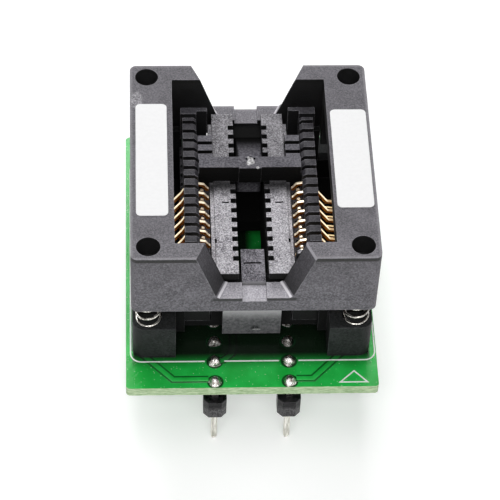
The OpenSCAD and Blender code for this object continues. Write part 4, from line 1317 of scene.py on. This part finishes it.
# %% Webs at the front of the contact rows
WEB_REAR = slot_places[0] - 0.33
WEB_T = 0.56
WEB_TOP = SEAT_TOP + 1.05
WEB_FOOT = SEAT_TOP - 1.26
web_profile = [(0.0, -0.08), (-0.06, 0.0), (-0.50, -0.06), (-0.56, -0.16)]
for side, sign in SIDE_SIGNS.items():
    web_rows = []
    for x, drop in ((4.27, 0.34), (4.34, 0.18), (4.5, 0.05), (5.32, 0.0)):
        row = [(sign * x, WEB_REAR + y, WEB_TOP + z - drop) for y, z in web_profile]
        row += [(sign * x, WEB_REAR - WEB_T, WEB_FOOT), (sign * x, WEB_REAR, WEB_FOOT)]
        web_rows.append(row)
    bm = bmesh.new()
    add_swept(bm, web_rows)
    web = object_from(bm, f"{side}_end_web", "base", BASE_PLASTIC)
print("web faces:", len(web.data.polygons))

# %% Lower strands of the levers
STRAND_W = 0.32
STRAND_T = 0.18
STRAND_ROUND = 0.02
STRAND_Z = 17.08
strand_line = [(7.70, 0.03), (7.92, 0.10), (8.20, 0.10), (8.55, 0.04), (8.86, 0.0)]
for side, sign in SIDE_SIGNS.items():
    bm = bmesh.new()
    for y in slot_places[:CONTACTS_FITTED]:
        strand_rows = []
        for share, inset in ((-1, STRAND_ROUND), (-0.7, 0.0), (0.7, 0.0), (1, STRAND_ROUND)):
            above, below = strip_sides(strand_line, STRAND_W - 2 * inset)
            ring = above + below[::-1]
            strand_rows.append([(sign * p.x, y + share * STRAND_T / 2, STRAND_Z + p.y) for p in ring])
        add_swept(bm, strand_rows)
    object_from(bm, f"{side}_lever_strands", f"{side}_arms", GOLD)
print("strands:", 2 * CONTACTS_FITTED)

# %% Gate stub and insert lines
GATE = [(0.52, 0.0), (0.44, 0.05), (0.30, 0.10), (0.24, 0.16), (0.12, 0.13), (0.04, 0.06)]
GATE_PLACE = (0.0, 2.45, BAR_HIGH.z)
CRUMB = [(r * 0.34, z * 0.6) for r, z in GATE]
CRUMB_PLACE = (0.78, BAR_FRONT + 0.1, BAR_HIGH.z - 0.03)
TORN_PLASTIC = plain_plastic("torn_plastic", dark=rgb(0.004, 0.004, 0.004), light=rgb(0.95, 0.94, 0.95),
                             grains_per_mm=2.6, speckle=0.5, rough=(0.4, 0.6), wear_and_glint_amount=0.2)
LINE_INK = plain_plastic("insert_line", dark=rgb(0.001, 0.001, 0.001), light=rgb(0.004, 0.004, 0.004),
                         grains_per_mm=6.0, speckle=0.1, rough=(0.6, 0.7), specular=0.0)
LINE_W = 0.2
LINE_H = 0.02
insert_lines = [
    ([(-2.94, -1.45), (-2.55, -1.5), (-2.23, -1.47)], SEAT_TOP),
    ([(2.49, -1.5), (2.95, -1.52), (3.31, -1.45)], SEAT_TOP),
    ([(-0.95, -8.50), (-0.1, -8.48), (0.80, -8.48)], TONGUE_TOP),
    ([(-3.72, -6.85), (-3.70, -6.55), (-3.72, -6.35)], SEAT_TOP),
    ([(3.72, -6.85), (3.74, -6.55), (3.72, -6.35)], SEAT_TOP),
]
gate_pits = [(-0.36, 2.62, 0.13), (0.08, 2.86, 0.15), (0.44, 2.66, 0.16), (-0.16, 2.02, 0.14),
             (0.34, 2.14, 0.11)]
bm = bmesh.new()
add_revolved(bm, GATE_PLACE, GATE, segments=24, wobble=0.9, seed=5.2, closed_ends=True)
uneven_blob(bm, CRUMB_PLACE, CRUMB, seed=1.4)
object_from(bm, "gate_stub", "base", TORN_PLASTIC, smooth_angle=25)
bm = bmesh.new()
for k, (x, y, radius) in enumerate(gate_pits):
    pit_profile = [(radius, -0.01), (radius * 0.8, 0.015), (radius * 0.3, 0.02)]
    uneven_blob(bm, (x, y, BAR_HIGH.z), pit_profile, seed=k)
for points, height in insert_lines:
    add_strip(bm, points, LINE_W, height - SUNK, height + LINE_H)
object_from(bm, "insert_lines", "base", LINE_INK)
print("lines:", len(insert_lines), "pits:", len(gate_pits))
